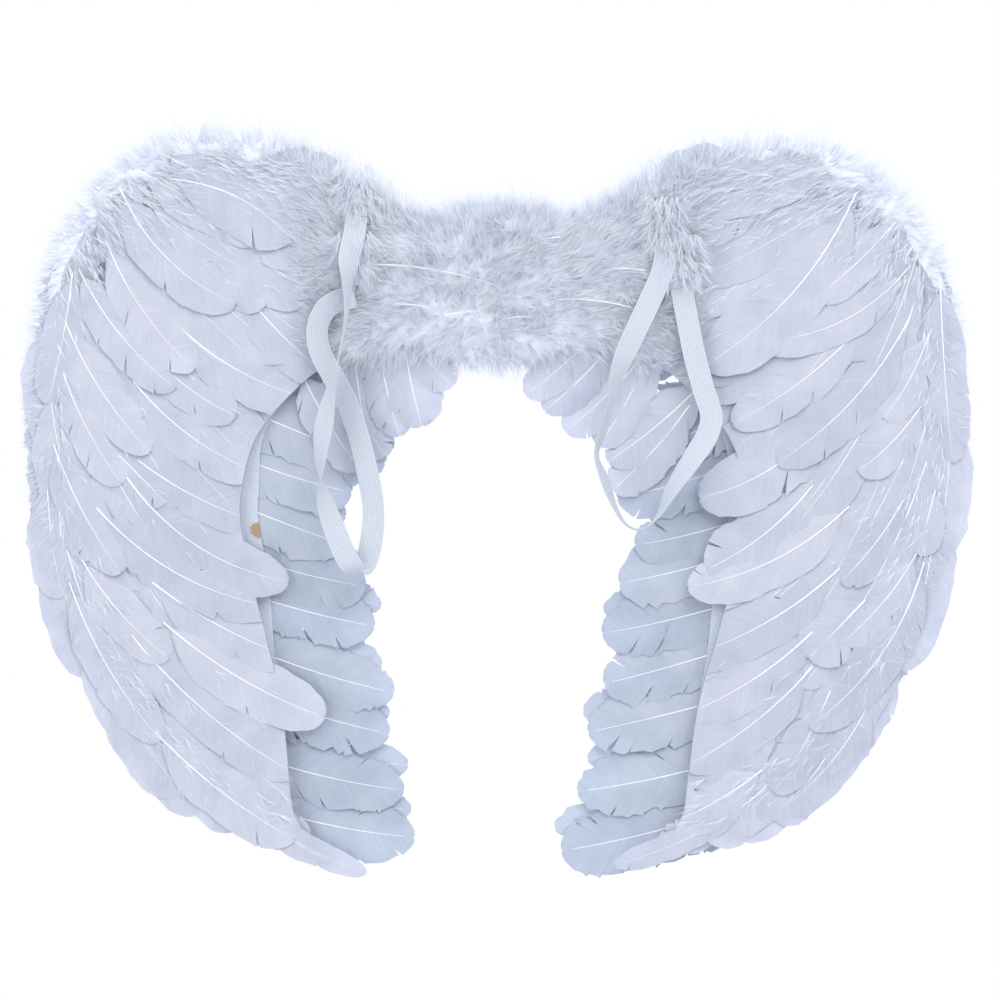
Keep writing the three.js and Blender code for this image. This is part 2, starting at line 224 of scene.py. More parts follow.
def quill_finish():
    """Quill of bleached keratin. It is smooth and horny, creamier than the vanes, and catches a thin highlight."""
    material, tree, shader = finish_named("bleached_quill", Roughness=0.32, IOR=1.54, Coat_Weight=0.1)
    _, share = blotches(tree, 35.0, 2.0, 0.45, 0.8, most=0.8)
    dress(tree, shader, share, "#FBFCFF", "#EAE6DC")
    return material


def elastic_finish():
    """Knitted elastic, polyester over rubber. Its ribs are in the mesh, and a cross weave lies between them."""
    material, tree, shader = finish_named("ribbed_white_elastic", Roughness=0.75, Sheen_Weight=0.2)
    along, across, _ = places_on(tree)
    # Weft picks stand 0.6 mm apart and are drawn 1.2 mm apart. The wobble keeps them from looking printed.
    wobble = add_node(tree, "ShaderNodeTexNoise", {"Scale": 400.0, "Detail": 1.0})
    pick = add_node(tree, "ShaderNodeMath", {0: along, 1: 2 * math.pi / 1.2, 2: wobble}, operation="MULTIPLY_ADD")
    weft = add_node(tree, "ShaderNodeMath", {0: pick}, operation="SINE")
    # Painted shade: the colour runs darker in the grooves between the ribs of the mesh and lighter on their tops.
    rib = add_node(tree, "ShaderNodeMath", {0: across, 1: 2 * math.pi / 1.55}, operation="MULTIPLY")
    painted_groove_shade = add_node(tree, "ShaderNodeMath", {0: rib}, operation="COSINE")
    share = add_node(tree, "ShaderNodeMapRange", {0: painted_groove_shade, 1: -1.0, 2: 1.0, 3: 0.0, 4: 1.0})
    dress(tree, shader, share, "#BAC1CD", "#D0D6E0", weft, strength=0.35)
    return material


def card_finish(name, glue_spot=None):
    """White-lined grey board. Short pulp fibres make it faintly mottled, with no gloss."""
    material, tree, shader = finish_named(name, Roughness=0.85, Specular_IOR_Level=0.3)
    fibre, share = blotches(tree, 900.0, 3.0, 0.35, 0.65)
    plain = dress(tree, shader, share, "#B9C2D0", "#CBD3DF", fibre, strength=0.2)
    if glue_spot:
        # A drop of hot glue has browned the board in one place, about 7 mm across.
        place = add_node(tree, "ShaderNodeTexCoord").outputs["Object"]
        away = add_node(tree, "ShaderNodeVectorMath", {0: place, 1: glue_spot}, operation="DISTANCE")
        edge = add_node(tree, "ShaderNodeTexNoise", {"Vector": place, "Scale": 500.0})
        ragged = add_node(tree, "ShaderNodeMath", {0: edge, 1: 0.004, 2: away.outputs["Value"]},
                          operation="MULTIPLY_ADD")
        within = add_node(tree, "ShaderNodeMapRange", {0: ragged, 1: 0.0062, 2: 0.0074, 3: 1.0, 4: 0.0})
        stained = add_node(tree, "ShaderNodeMix", {0: within, 6: plain, 7: linear("#A89478")}, data_type="RGBA")
        tree.links.new(stained.outputs[2], shader.inputs["Base Color"])
    return material


def tape_finish():
    """Crepe paper tape. Its fine crinkles run down the fold."""
    material, tree, shader = finish_named("crepe_paper_tape", Roughness=0.7)
    place = add_node(tree, "ShaderNodeTexCoord").outputs["Object"]
    crinkle = add_node(tree, "ShaderNodeTexWave", {
        "Vector": place, "Scale": 160.0, "Distortion": 4.0, "Detail": 2.0}, bands_direction="Z").outputs["Fac"]
    dress(tree, shader, crinkle, "#D9DBD6", "#ECEBE4", crinkle)
    return material


def staple_finish():
    """Galvanised steel wire, drawn and bent: bright grey, with fine drawing lines along it."""
    material, tree, shader = finish_named("galvanised_staple_wire", "#B9BCC0", Metallic=1.0)
    place = add_node(tree, "ShaderNodeTexCoord").outputs["Object"]
    stretch = add_node(tree, "ShaderNodeMapping", {"Vector": place, "Scale": (200, 4000, 4000)})
    lines = add_node(tree, "ShaderNodeTexNoise", {"Vector": stretch, "Scale": 1.0})
    dull = add_node(tree, "ShaderNodeMapRange", {0: lines, 1: 0.3, 2: 0.7, 3: 0.28, 4: 0.45})
    tree.links.new(dull.outputs[0], shader.inputs["Roughness"])
    return material


def floor_finish():
    """Matt painted board under the object."""
    material, tree, shader = finish_named("pale_floor_paint", Roughness=0.8)
    place = add_node(tree, "ShaderNodeTexCoord").outputs["Object"]
    mottle = add_node(tree, "ShaderNodeTexNoise", {"Vector": place, "Scale": 3.0})
    dress(tree, shader, mottle, "#E9EAEB", "#EFF0F1")
    return material


covert_vane = vane_finish("goose_covert_vane", "#C7CDDF", "#E5E8F2", 0.6)
# The flight vanes use the same goose vane painted darker and bluer. This is painted shade for the shade that falls on
# the lower feathers of the wings.
flight_vane_painted_shade = vane_finish("goose_flight_vane", "#B8C4D6", "#D8DFEB", 0.5)
down = down_finish()
horn = quill_finish()
elastic = elastic_finish()

floor_mesh = bpy.data.meshes.new("floor")
floor_mesh.from_pydata([(x, y, -0.66) for x, y in ((-1.1, -1.1), (1.1, -1.1), (1.1, 1.1), (-1.1, 1.1))], [],
                       [(0, 1, 2, 3)])
floor_mesh.materials.append(floor_finish())
added("floor", floor_mesh)


# ---------------------------------------------------------------- shapes seen from the front

MID_DEPTH = 12.4  # Y of the middle of the cards, mm
MIDDLE_LEVEL, LEVEL_RISE = 11.3, 5.2  # Y of feathers by the middle, and how far those at the edge lie in front, mm

def boundary(node):
    """The ordered edge of a flat node's front face. Edges that two triangles share are inside it, and left out."""
    mesh = frame["nodes"][node].data
    spots = np.array([v.co for v in mesh.vertices]) / MM
    front = spots[:, 1].min() + 0.01
    edges = set()
    for face in mesh.polygons:
        if max(spots[i][1] for i in face.vertices) > front:
            continue
        corners = [tuple(np.round(spots[i][[0, 2]], 3)) for i in face.vertices]
        for a, b in zip(corners, corners[1:] + corners[:1]):
            if (b, a) in edges:
                edges.remove((b, a))
            else:
                edges.add((a, b))
    following = dict(sorted(edges))
    start = min(following)
    loop = [start]
    while following[loop[-1]] != start:
        loop.append(following[loop[-1]])
    return np.array(loop)


def inside(points, outline):
    """Which points lie inside a closed outline."""
    x, z = np.atleast_2d(points).T
    found = np.zeros(len(x), bool)
    for (ax, az), (bx, bz) in zip(outline, np.roll(outline, -1, 0)):
        if az == bz:
            continue
        crosses = (az > z) != (bz > z)
        found ^= crosses & (x < (bx - ax) * (z - az) / (bz - az) + ax)
    return found


def distance_to(points, line):
    """How far each point is from an open line."""
    points = np.atleast_2d(points)
    best = np.full(len(points), 1e9)
    for a, b in zip(line[:-1], line[1:]):
        run = b - a
        share = np.clip(((points - a) @ run) / max(run @ run, 1e-9), 0, 1)
        best = np.minimum(best, np.linalg.norm(points - a - share[:, None] * run, axis=1))
    return best


def even_steps(line, step):
    """Points along an open line, a step apart."""
    gaps = np.r_[0, np.cumsum(np.linalg.norm(np.diff(line, axis=0), axis=1))]
    stops = np.linspace(0, gaps[-1], max(int(gaps[-1] / step), 2))
    return np.column_stack([np.interp(stops, gaps, line[:, i]) for i in range(line.shape[1])])


class Wing:
    """The outlines of one wing's front card that its feathers are laid by."""

    def __init__(self, name):
        self.name, self.side = name, SIDES[name]
        self.card = boundary(f"{name}_front_card")
        by_fold = np.abs(self.card[:, 0]) < np.abs(self.card[:, 0]).min() + 1
        top = np.flatnonzero(by_fold)[self.card[by_fold, 1].argmax()]
        run = np.roll(self.card, -top, 0)
        if abs(run[1, 0]) < abs(run[-1, 0]):
            run = np.roll(run[::-1], 1, 0)
        last = run[:, 1].argmin()
        self.outer = run[:last + 1]
        self.inner = np.vstack([run[last:], run[:1]])
        foot = self.inner[np.abs(self.inner[:, 0]) < np.abs(self.card[:, 0]).min() + 1]
        low_fold = foot[foot[:, 1].argmin()]
        self.under = self.inner[:np.flatnonzero((self.inner == low_fold).all(1))[0] + 1]
        tip = self.inner[0]
        self.kept = np.vstack([self.under, [(low_fold[0], 400), (self.side * 500, 400), (self.side * 500, -500),
                                            (tip[0], -500)]])
        rim = self.outer[np.abs(self.outer[:, 0]) > 92]
        run = np.gradient(rim, axis=0)
        out = np.column_stack([run[:, 1], -run[:, 0]]) / np.linalg.norm(run, axis=1)[:, None]
        if inside(rim[len(rim) // 2] + out[len(rim) // 2] * 4, self.card)[0]:
            out = -out
        rim = rim + out * np.interp(rim[:, 1], [-260, -120, 40], [7, 3, 2])[:, None]
        arm = self.side * 92
        self.reach = np.vstack([rim, [(0, rim[-1][1]), (0, -45), (arm, -45)]])

    def heading(self, x, z):
        """The way feathers point at each place: inwards, and steeper towards the outer edge."""
        slope = np.interp(np.abs(x), [100, 150, 200, 240, 265, 280, 297], [25, 30, 42, 52, 64, 78, 90])
        slope = np.radians(slope * (1 - 0.6 * np.clip((z - 20) / 70, 0, 1)))
        return np.stack([-self.side * np.cos(slope), -np.sin(slope)], -1)

    def level(self, points):
        """The depth that a feather rooted at each place lies at: those by the outer edge lie over the rest."""
        return MIDDLE_LEVEL - LEVEL_RISE * (1 - np.minimum(distance_to(points, self.outer) / 150, 1))

    def settled(self, base, tip):
        """How far a feather leans back towards the card between its base and its tip."""
        return 0.4 * (self.level([tip])[0] - self.level([base])[0])

    def length_within(self, base, way, length):
        """The length that keeps a feather's tip off the middle, and within a few millimetres of the outer edge."""
        while length > 20 and not inside(base + way * length, self.reach)[0]:
            length -= 4
        return length

    def spread(self, rng, along, across, room, furthest):
        """Places over the card, at least so far apart along and across the feathers' way.

        Each has room ahead of it, and is no further than furthest from the outer edge.
        """
        spots = rng.uniform(self.card.min(0), self.card.max(0), (5200, 2))
        ways = self.heading(spots[:, 0], spots[:, 1])
        fit = inside(spots, self.card) & inside(spots + ways * room, self.kept)
        fit &= distance_to(spots, self.outer) < furthest
        taken = np.empty((0, 2))
        for spot, way in zip(spots[fit], ways[fit]):
            apart = taken - spot
            if len(taken) and (((apart @ way) / along) ** 2
                               + ((apart @ [way[1], -way[0]]) / across) ** 2).min() < 1:
                continue
            taken = np.vstack([taken, spot])
        return taken


wings = {name: Wing(name) for name in SIDES}


# ---------------------------------------------------------------- shapes and pieces

def patch_faces(index):
    """The four-sided faces between the rows and columns of a grid of spot numbers."""
    return np.stack([index[:-1, :-1], index[:-1, 1:], index[1:, 1:], index[1:, :-1]], -1).reshape(-1, 4)


def tube_faces(index):
    """The faces of a closed tube with flat ends. Each row of spot numbers is a ring of it."""
    after = np.roll(index, -1, 1)
    sleeve = np.stack([index[:-1], after[:-1], after[1:], index[1:]], -1).reshape(-1, 4)
    return sleeve.tolist() + [index[0].tolist()[::-1], index[-1].tolist()]


def closed_grid(front, back, order=(0, 1, 2, 3)):
    """A closed shell from two equal grids of places. Order is the order of each face's corners in front."""
    rows, columns = front.shape[:2]
    index = np.arange(rows * columns).reshape(rows, columns)
    quads = patch_faces(index)[:, order]
    rim = np.concatenate([index[0, :], index[1:, -1], index[-1, -2::-1], index[-2:0:-1, 0]])
    walls = np.stack([rim, np.roll(rim, -1), np.roll(rim, -1) + index.size, rim + index.size], -1)
    faces = np.vstack([quads, quads[:, ::-1] + index.size, walls]).tolist()
    return np.vstack([front.reshape(-1, 3), back.reshape(-1, 3)]), faces


def shape_of(spots, faces, along=0.0, across=0.0, tone=0.0, quill_faces=0):
    """A shape for make_piece, in millimetres. Its last faces, as many as quill_faces, take the second finish."""
    level = np.zeros(len(spots))
    return {"spots": spots, "faces": faces, "finish": [0] * (len(faces) - quill_faces) + [1] * quill_faces,
            "along": level + along, "across": level + across, "tone": level + tone}


def outward(mesh, crease):
    """Turns a closed mesh's faces outwards, and smooths it where it bends by less than the crease, in degrees."""
    work = bmesh.new()
    work.from_mesh(mesh)
    bmesh.ops.recalc_face_normals(work, faces=work.faces)
    work.to_mesh(mesh)
    work.free()
    mesh.polygons.foreach_set("use_smooth", np.ones(len(mesh.polygons), bool))
    mesh.set_sharp_from_angle(angle=math.radians(crease))


def make_piece(name, parts, finishes):
    """One mesh object from shapes given in millimetres, with its outside turned outwards."""
    parts = [p for p in parts if p]
    starts = np.cumsum([0] + [len(p["spots"]) for p in parts])
    mesh = bpy.data.meshes.new(name)
    faces = [[i + start for i in f] for p, start in zip(parts, starts) for f in p["faces"]]
    mesh.from_pydata(np.vstack([p["spots"] for p in parts]) * MM, [], faces)
    for finish in finishes:
        mesh.materials.append(finish)
    mesh.polygons.foreach_set("material_index", np.concatenate([p["finish"] for p in parts]).astype(np.int32))
    for label in ("along", "across", "tone"):
        values = np.concatenate([p[label] for p in parts]).astype(np.float32)
        mesh.attributes.new(label, "FLOAT", "POINT").data.foreach_set("value", values)
    outward(mesh, 55)
    return added(name, mesh)


def stand_for(piece, body, slot, *nodes):
    """A piece that moves with a body and is shown in place of CAD nodes. Its slot is not used."""
    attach(piece, body)
    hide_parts(*nodes)


# ---------------------------------------------------------------- feathers

VANE = 0.22  # thickness of a vane, mm
QUILL_END = 0.96  # how far along the vane the quill shows


def vane_profile(s, round_from):
    """Half width of a vane as a share of its greatest, by how far along it is."""
    body = np.clip((s - 0.02) / 0.36, 0, 1)
    body = (body * body * (3 - 2 * body)) ** 0.6
    end = np.clip((s - round_from) / (1 - round_from), 0, 1)
    return body * np.sqrt(np.clip(1 - end ** 2.2, 0, 1))


def rod(path, sideways, top, thick):
    """A closed five-sided tube through (x, z) places at the depths in top, as spots and faces."""
    turns = np.arange(5) * 2 * math.pi / 5
    ring = np.array([[math.cos(a), math.sin(a)] for a in turns])
    flat = path[:, None] + sideways[:, None] * (ring[:, 0] * thick[:, None])[..., None]
    tube = np.stack([flat[..., 0], top[:, None] + ring[:, 1] * thick[:, None], flat[..., 1]], -1)
    return tube.reshape(-1, 3), tube_faces(np.arange(len(path) * 5).reshape(-1, 5))


def feather(rng, side, base, tip, width, level, bend=0.0, lift=1.0, splits=2, face=-1, cut=None, roll=0.035,
            camber=0.022, ragged=0.03, round_from=0.7, columns=(0.3, 0.58, 0.82, 1.0), rows=11, stout=1.0):
    """One feather, as a thin closed vane with split barbs and a raised quill.

    Base and tip are (x, z) places, and level is the quill's Y at the base. Bend bows it up, lift raises its tip,
    roll tucks its upper margin under the next feather, cut is the outline that it is trimmed to, and stout is how
    thick its quill is.
    """
    base, tip = np.array(base, float), np.array(tip, float)
    span = tip - base
    length = np.hypot(*span)
    upper = side * np.array([span[1], -span[0]]) / length

    def quill(t):
        return base + np.outer(t, span) + np.outer(4 * bend * length * t * (1 - t), upper)

    def over(t):
        run = span + np.outer(4 * bend * length * (1 - 2 * t), upper)
        run /= np.linalg.norm(run, axis=1)[:, None]
        return run, side * np.column_stack([run[:, 1], -run[:, 0]])

    stops = list(np.linspace(0.1, round_from, rows)) + list(
        round_from + (1 - round_from) * np.sin(np.linspace(0, 1.5, rows - 2)[1:]))
    notches = []
    for _ in range(splits):
        centre, half_gap = rng.uniform(0.3, 0.95), rng.uniform(0.4, 1.3) / length
        if all(abs(centre - c) > 3 * (half_gap + w) for c, w, _, _ in notches):
            notches.append((centre, half_gap, rng.choice([-1, 1]), rng.uniform(0.3, 0.8)))
    for centre, half_gap, _, _ in notches:
        stops = [s for s in stops if abs(s - centre) > 1.6 * half_gap]
        stops += [centre - half_gap, centre, centre + half_gap]
    s = np.array(sorted(stops))
    wide = vane_profile(s, round_from) * width * (1 + rng.normal(0, ragged, len(s)))
    root = np.clip(s - 0.45 * wide / length, 0.03, 1)
    root = np.maximum.accumulate(root + np.arange(len(s)) * 1e-4)
    centre_line, (run, _) = quill(root), over(root)
    _, out = over(s)
    edge = quill(s)
    wave = rng.uniform(0, 6.28, 3)
    half = wide * 0.5
    flat, height, along, across = [], [], [], []
    for f in [-c for c in columns[::-1]] + [0.0] + list(columns):
        g, f = (1 if f > 0 else -1), abs(f)
        margin = edge + out * (g * half)[:, None]
        w = np.full(len(s), f)
        for centre, _, notch_side, depth in notches:
            if notch_side == g:
                w[np.argmin(np.abs(s - centre))] = f * depth
        spot = centre_line + (margin - centre_line) * w[:, None] - run * (0.22 * half * f * (1 - f))[:, None]
        ripple = 0.012 * width * (np.sin(9 * s + wave[0] + 2 * w * g) + np.sin(17 * s + wave[1] - 3 * w * g)) * w
        flat.append(spot)
        height.append(level + face * (lift * s ** 2 + camber * width * (1 - w ** 2))
                      - face * roll * width / 2 * w * g + ripple)
        along.append(root * length)
        across.append(g * w * np.hypot(*(margin - centre_line).T))
    flat, height, along, across = (np.array(values) for values in (flat, height, along, across))
    quill_end = QUILL_END
    if cut is not None:
        for j in range(len(flat)):
            within = inside(flat[j], cut)
            if within.all():
                continue
            k = int(np.argmin(within))
            if k == 0:
                return None
            low, high = 0.0, 1.0
            for _ in range(10):
                half_way = (low + high) / 2
                spot = flat[j][k - 1] + (flat[j][k] - flat[j][k - 1]) * half_way
                low, high = (half_way, high) if inside(spot, cut)[0] else (low, half_way)
            whole = np.arange(len(s)) * (k - 1 + low) / (len(s) - 1)
            for a in (flat[j][:, 0], flat[j][:, 1], height[j], along[j], across[j]):
                a[:] = np.interp(whole, np.arange(len(s)), a.copy())
        within = inside(quill(np.linspace(0, QUILL_END, 60)), cut)
        if not within.all():
            quill_end = max(0.1, QUILL_END * (int(np.argmin(within)) - 1) / 59)
    near = np.stack([flat[:, :, 0], height, flat[:, :, 1]], -1)
    spots, faces = closed_grid(near, near - np.array([0, face * VANE, 0]), order=(0, 3, 2, 1))

    t = np.linspace(0, quill_end, 12)
    thick = np.interp(t, [0, 0.25, 1], [0.021, 0.017, 0.004]) * min(width, 34) * stout
    path, (_, sideways) = quill(t), over(t)
    tube, sleeve = rod(path, sideways, level + face * (lift * t ** 2 + camber * width + thick * 0.35), thick)
    sleeve = [[i + len(spots) for i in ring] for ring in sleeve]
    return shape_of(np.vstack([spots, tube]), faces + sleeve,
                    along=np.r_[np.tile(along.ravel(), 2), np.repeat(t * length, 5)],
                    across=np.r_[np.tile(across.ravel(), 2), np.zeros(60)],
                    tone=rng.uniform(0, 1), quill_faces=len(sleeve))


# Chosen feathers on the front of each wing, lowest layer first: base, tip, width, bend, and how far the tip
# stands off. The last figure is 1 where the feather runs on past the edge of the front card.
CHOSEN = {
    "left": [
        ((-215, -278), (-127, -346), 30, -0.04, 0.5, 0), ((-230, -217), (-126, -305), 30, -0.05, 0.5, 0),
        ((-210, -209), (-108, -269), 33, -0.05, 1.5, 1), ((-217, -184), (-128, -232), 30, -0.04, 0.5, 0),
        ((-252, -137), (-138, -200), 30, -0.09, 0.5, 0), ((-233, -118), (-131, -184), 30, -0.10, 1.0, 1),
        ((-226, -107), (-146, -147), 24, -0.05, 0.5, 0), ((-229, -57), (-148, -116), 28, -0.07, 1.0, 0),
        ((-202, -21), (-118, -68), 32, -0.07, 0.5, 0), ((-162, 3), (-104, -55), 30, -0.04, 0.5, 0),
        ((-261, -170), (-206, -232), 26, -0.05, 1.0, 0), ((-269, -184), (-211, -284), 26, -0.05, 1.0, 0),
        ((-279, -97), (-236, -178), 26, -0.04, 1.0, 0), ((-219, -38), (-164, -79), 25, -0.06, 2.2, 0),
        ((-238, -104), (-208, -134), 23, 0.0, 1.8, 0), ((-266, -130), (-257, -171), 19, 0.0, 1.6, 0),
        ((-273, -52), (-236, -122), 24, -0.04, 1.0, 0), ((-272, -19), (-218, -102), 26, -0.05, 1.4, 0),
        ((-263, 13), (-202, -62), 26, -0.06, 1.6, 0), ((-246, 31), (-190, -50), 27, -0.06, 2.2, 0),
        ((-237, 64), (-164, -9), 30, -0.10, 1.8, 0), ((-189, 18), (-145, -8), 23, -0.03, 2.2, 0),
        ((-267, 11), (-283, -72), 24, 0.02, 1.0, 0), ((-205, 70), (-128, 31), 42, 0.10, 2.0, 0),
        ((-176, -312), (-82, -367), 15, -0.05, 0.5, 1), ((-190, -296), (-104, -360), 17, -0.05, 0.5, 1),
    ],
    "right": [
        ((167, -302), (108, -336), 28, -0.04, 0.5, 0), ((199, -237), (118, -300), 28, -0.05, 0.5, 0),
        ((199, -215), (119, -267), 30, -0.05, 0.5, 0), ((216, -175), (116, -232), 31, -0.06, 0.5, 0),
        ((269, -171), (196, -275), 29, -0.09, 1.0, 0), ((210, -252), (174, -316), 25, -0.03, 2.0, 0),
        ((232, -195), (196, -232), 33, 0.0, 2.4, 0), ((264, -166), (217, -222), 24, -0.05, 1.2, 0),
        ((222, -136), (120, -187), 31, -0.08, 2.4, 1), ((199, -123), (132, -176), 35, -0.06, 2.8, 1),
        ((209, -79), (127, -131), 35, -0.09, 3.0, 1), ((256, -132), (216, -184), 26, -0.04, 1.2, 0),
        ((276, -126), (265, -167), 22, 0.0, 1.6, 0), ((267, -73), (227, -114), 26, -0.05, 1.4, 0),
        ((260, -17), (176, -109), 28, -0.07, 1.6, 0), ((231, -21), (148, -84), 27, -0.05, 1.8, 0),
        ((272, -27), (243, -81), 24, -0.05, 1.2, 0), ((251, 43), (200, -5), 25, -0.03, 1.6, 0),
        ((226, 61), (130, -48), 38, -0.08, 2.4, 0), ((166, 21), (132, -15), 15, -0.02, 1.5, 0),
        ((260, 15), (159, -32), 23, -0.12, 2.6, 0), ((279, 7), (287, -109), 26, 0.01, 1.0, 0),
        ((164, -318), (74, -362), 15, -0.05, 0.5, 1),
    ],
}


def turned(way, angle):
    """A direction seen from the front, turned by an angle."""
    return np.array([way[0] * math.cos(angle) - way[1] * math.sin(angle),
                     way[0] * math.sin(angle) + way[1] * math.cos(angle)])


def lay_front(wing, seed):
    """Every feather on the front card: short ones close to it, long ones over them, and the chosen ones on top."""
    rng = np.random.default_rng(seed)
    laid = []
    # How far apart they stand along and across, room ahead, furthest from the edge, lengths, and depth added.
    for along, across, room, furthest, shortest, longest, deeper in (
            (29, 15, 26, 400, 84, 104, 0.6), (44, 13, 60, 66, 125, 172, -0.6)):
        spots = wing.spread(rng, along, across, room, furthest)
        for spot, level in zip(spots, wing.level(spots) + deeper):
            way = turned(wing.heading(*spot), rng.normal(0, 0.06))
            length = rng.uniform(shortest, longest) * np.interp(spot[1], [-40, 40], [1, 0.74])
            length = wing.length_within(spot, way, length)
            if length < 46:
                continue
            laid.append((level, feather(
                rng, wing.side, spot, spot + way * length, rng.uniform(29, 36), min(level, 11.5),
                bend=rng.uniform(-0.07, -0.02), lift=-wing.settled(spot, spot + way * length),
                splits=int(rng.integers(0, 3)), cut=wing.kept, stout=rng.uniform(0.35, 0.75))))
    for base, tip, width, bend, lift, past_edge in CHOSEN[wing.name]:
        level = wing.level(base)[0] - 1.3
        laid.append((level, feather(
            rng, wing.side, base, tip, width * 1.1, level, bend=bend, lift=lift * 0.5 - wing.settled(base, tip),
            splits=int(rng.integers(1, 5)), camber=0.03, roll=0.045, cut=None if past_edge else wing.kept, stout=0.85)))
    return laid


def lay_edge(wing, seed, face, level):
    """Small feathers that follow the outer edge of the wing, on its front or its rear."""
    rng = np.random.default_rng(seed)
    path = even_steps(wing.outer, 13)
    laid = []
    for i in range(8, len(path) - 3):
        run = path[i + 1] - path[i]
        run /= np.hypot(*run)
        way = turned(run * 0.85 + wing.heading(*path[i]) * 0.3, rng.normal(0, 0.1))
        way /= np.hypot(*way)
        base = path[i] + rng.normal(0, 2, 2) + np.array([-wing.side * 6, -2])
        length = wing.length_within(base, way, rng.uniform(52, 70))
        if length < 34 or (path[i][1] > 30 and abs(path[i][0]) < 262):
            continue
        laid.append(feather(rng, wing.side, base, base + way * length, rng.uniform(19, 24),
                            level + rng.uniform(-0.5, 0.5), bend=rng.uniform(-0.03, 0.03), lift=-1.0,
                            splits=int(rng.integers(5, 10)), face=face, ragged=0.11,
                            round_from=0.5, stout=0.45))
    return laid


for name, wing in wings.items():
    laid = sorted(lay_front(wing, 11 + wing.side), key=lambda item: -item[0])
    thirds = np.array_split(np.arange(len(laid)), 3)
    for layer, chosen in zip(("lower", "middle", "upper"), thirds):
        parts = [laid[i][1] for i in chosen]
        if layer == "upper":
            parts += lay_edge(wing, 31 + wing.side, -1, 7.4)
        vanes = make_piece(f"{name}_front_vanes_{layer}", parts, [covert_vane, horn])
        stand_for(vanes, f"{name}_wing", "covert_feather", f"{name}_front_feathers_{layer}")


def axis_of(node):
    """The base and tip of a CAD feather, seen from the front, and its width."""
    mesh = frame["nodes"][node].data
    flat = np.array([(v.co.x, v.co.z) for v in mesh.vertices]) / MM
    centre = flat.mean(0)
    _, _, axes = np.linalg.svd(flat - centre, full_matrices=False)
    lengthways, sideways = (flat - centre) @ axes[0], (flat - centre) @ axes[1]
    ends = [centre + axes[0] * lengthways.min(), centre + axes[0] * lengthways.max()]
    ends.sort(key=lambda p: -abs(p[0]))
    return ends[0], ends[1], sideways.max() - sideways.min()


for name, wing in wings.items():
    for i in range(1, 10):
        node = f"{name}_flight_feather_{i}"
        rng = np.random.default_rng(100 * (2 + wing.side) + i)
        base, tip, width = axis_of(node)
        longer = float(np.interp(i, [1, 4, 8, 9], [4, 4, 9, 19] if name == "right" else [0, 0, 2, 5]))
        tip = tip + (tip - base) / 146 * (longer + rng.uniform(-11, 3)) + np.array([0, rng.uniform(-5, 5)])
        vane = feather(rng, wing.side, base, tip, width * rng.uniform(0.98, 1.14), 15.6, bend=rng.uniform(-0.06, -0.01),
                       lift=0.6, splits=int(rng.integers(9, 15)), roll=0.05, camber=0.025, ragged=0.06,
                       round_from=rng.uniform(0.74, 0.86), rows=15)
        aside, pull = np.array([rng.uniform(-6, 6), 16 + rng.uniform(-4, 4)]), rng.uniform(-0.05, 0.06)
        between = feather(rng, wing.side, base + aside, tip + aside + (tip - base) * pull,
                          width * rng.uniform(0.8, 1.0), 18.4, bend=rng.uniform(-0.09, 0.0), lift=0.2,
                          splits=int(rng.integers(9, 15)), roll=0.05, camber=0.02, ragged=0.09,
                          round_from=rng.uniform(0.55, 0.75), rows=15)
        piece = make_piece(f"{name}_flight_vane_{i}", [vane, between], [flight_vane_painted_shade, horn])
        stand_for(piece, f"{name}_wing", "flight_feather", node)


# Short feathers under each arm and under the middle: base, tip, width, splits, level.
UNDERARM = {
    "left": [
        ((-104, -40), (-70, -105), 29, 5, 12.2), ((-90, -30), (-80, -98), 27, 9, 11.4),
        ((-76, -22), (-61, -92), 29, 8, 10.8), ((-60, -12), (-47, -86), 38, 10, 10.2),
        ((-66, -18), (-27, -60), 28, 9, 9.6), ((-124, -50), (-86, -113), 29, 5, 12.4),
    ],
    "right": [
        ((132, -56), (70, -108), 31, 6, 12.2), ((122, -72), (73, -126), 31, 8, 12.5),
        ((100, -32), (64, -98), 28, 5, 11.6), ((98, -34), (43, -89), 31, 4, 10.8),
        ((84, -20), (30, -76), 29, 3, 10.2), ((74, -14), (18, -66), 27, 3, 9.4),
    ],
}

for name, wing in wings.items():
    rng = np.random.default_rng(60 + wing.side)
    parts = [feather(rng, wing.side, base, tip, width, level, bend=-0.03, lift=0.8, splits=splits, ragged=0.05,
                     round_from=0.68, camber=0.04) for base, tip, width, splits, level in UNDERARM[name]]
    piece = make_piece(f"{name}_underarm_vanes", parts, [covert_vane, horn])
    stand_for(piece, f"{name}_wing", "covert_feather", f"{name}_underarm_feathers")


# ---------------------------------------------------------------- rear feathers, laid by Geometry Nodes

def named_tree(name, sockets):
    """A Geometry Nodes tree with these named inputs, its input and output nodes, and each input's identifier."""
    tree = bpy.data.node_groups.new(name, "GeometryNodeTree")
    tree.interface.new_socket(name="Geometry", in_out="OUTPUT", socket_type="NodeSocketGeometry")
    ids = {label: tree.interface.new_socket(name=label, in_out="INPUT", socket_type=kind).identifier
           for label, kind in sockets}
    return tree, add_node(tree, "NodeGroupInput").outputs, add_node(tree, "NodeGroupOutput"), ids


def field(tree, label, kind):
    """A named attribute, read in a Geometry Nodes tree."""
    return add_node(tree, "GeometryNodeInputNamedAttribute", {"Name": label}, data_type=kind).outputs["Attribute"]


def laid_at(tree, points, group, seed, rotation, scale):
    """Lays one of a collection's shapes, picked at random, at each point."""
    kinds = add_node(tree, "GeometryNodeCollectionInfo", {
        "Collection": group, "Separate Children": True, "Reset Children": True})
    pick = add_node(tree, "FunctionNodeRandomValue", {4: 0, 5: 99, "Seed": seed}, data_type="INT")
    return add_node(tree, "GeometryNodeInstanceOnPoints", {
        "Points": points, "Instance": kinds, "Pick Instance": True, "Instance Index": pick.outputs[2],
        "Rotation": rotation, "Scale": scale})


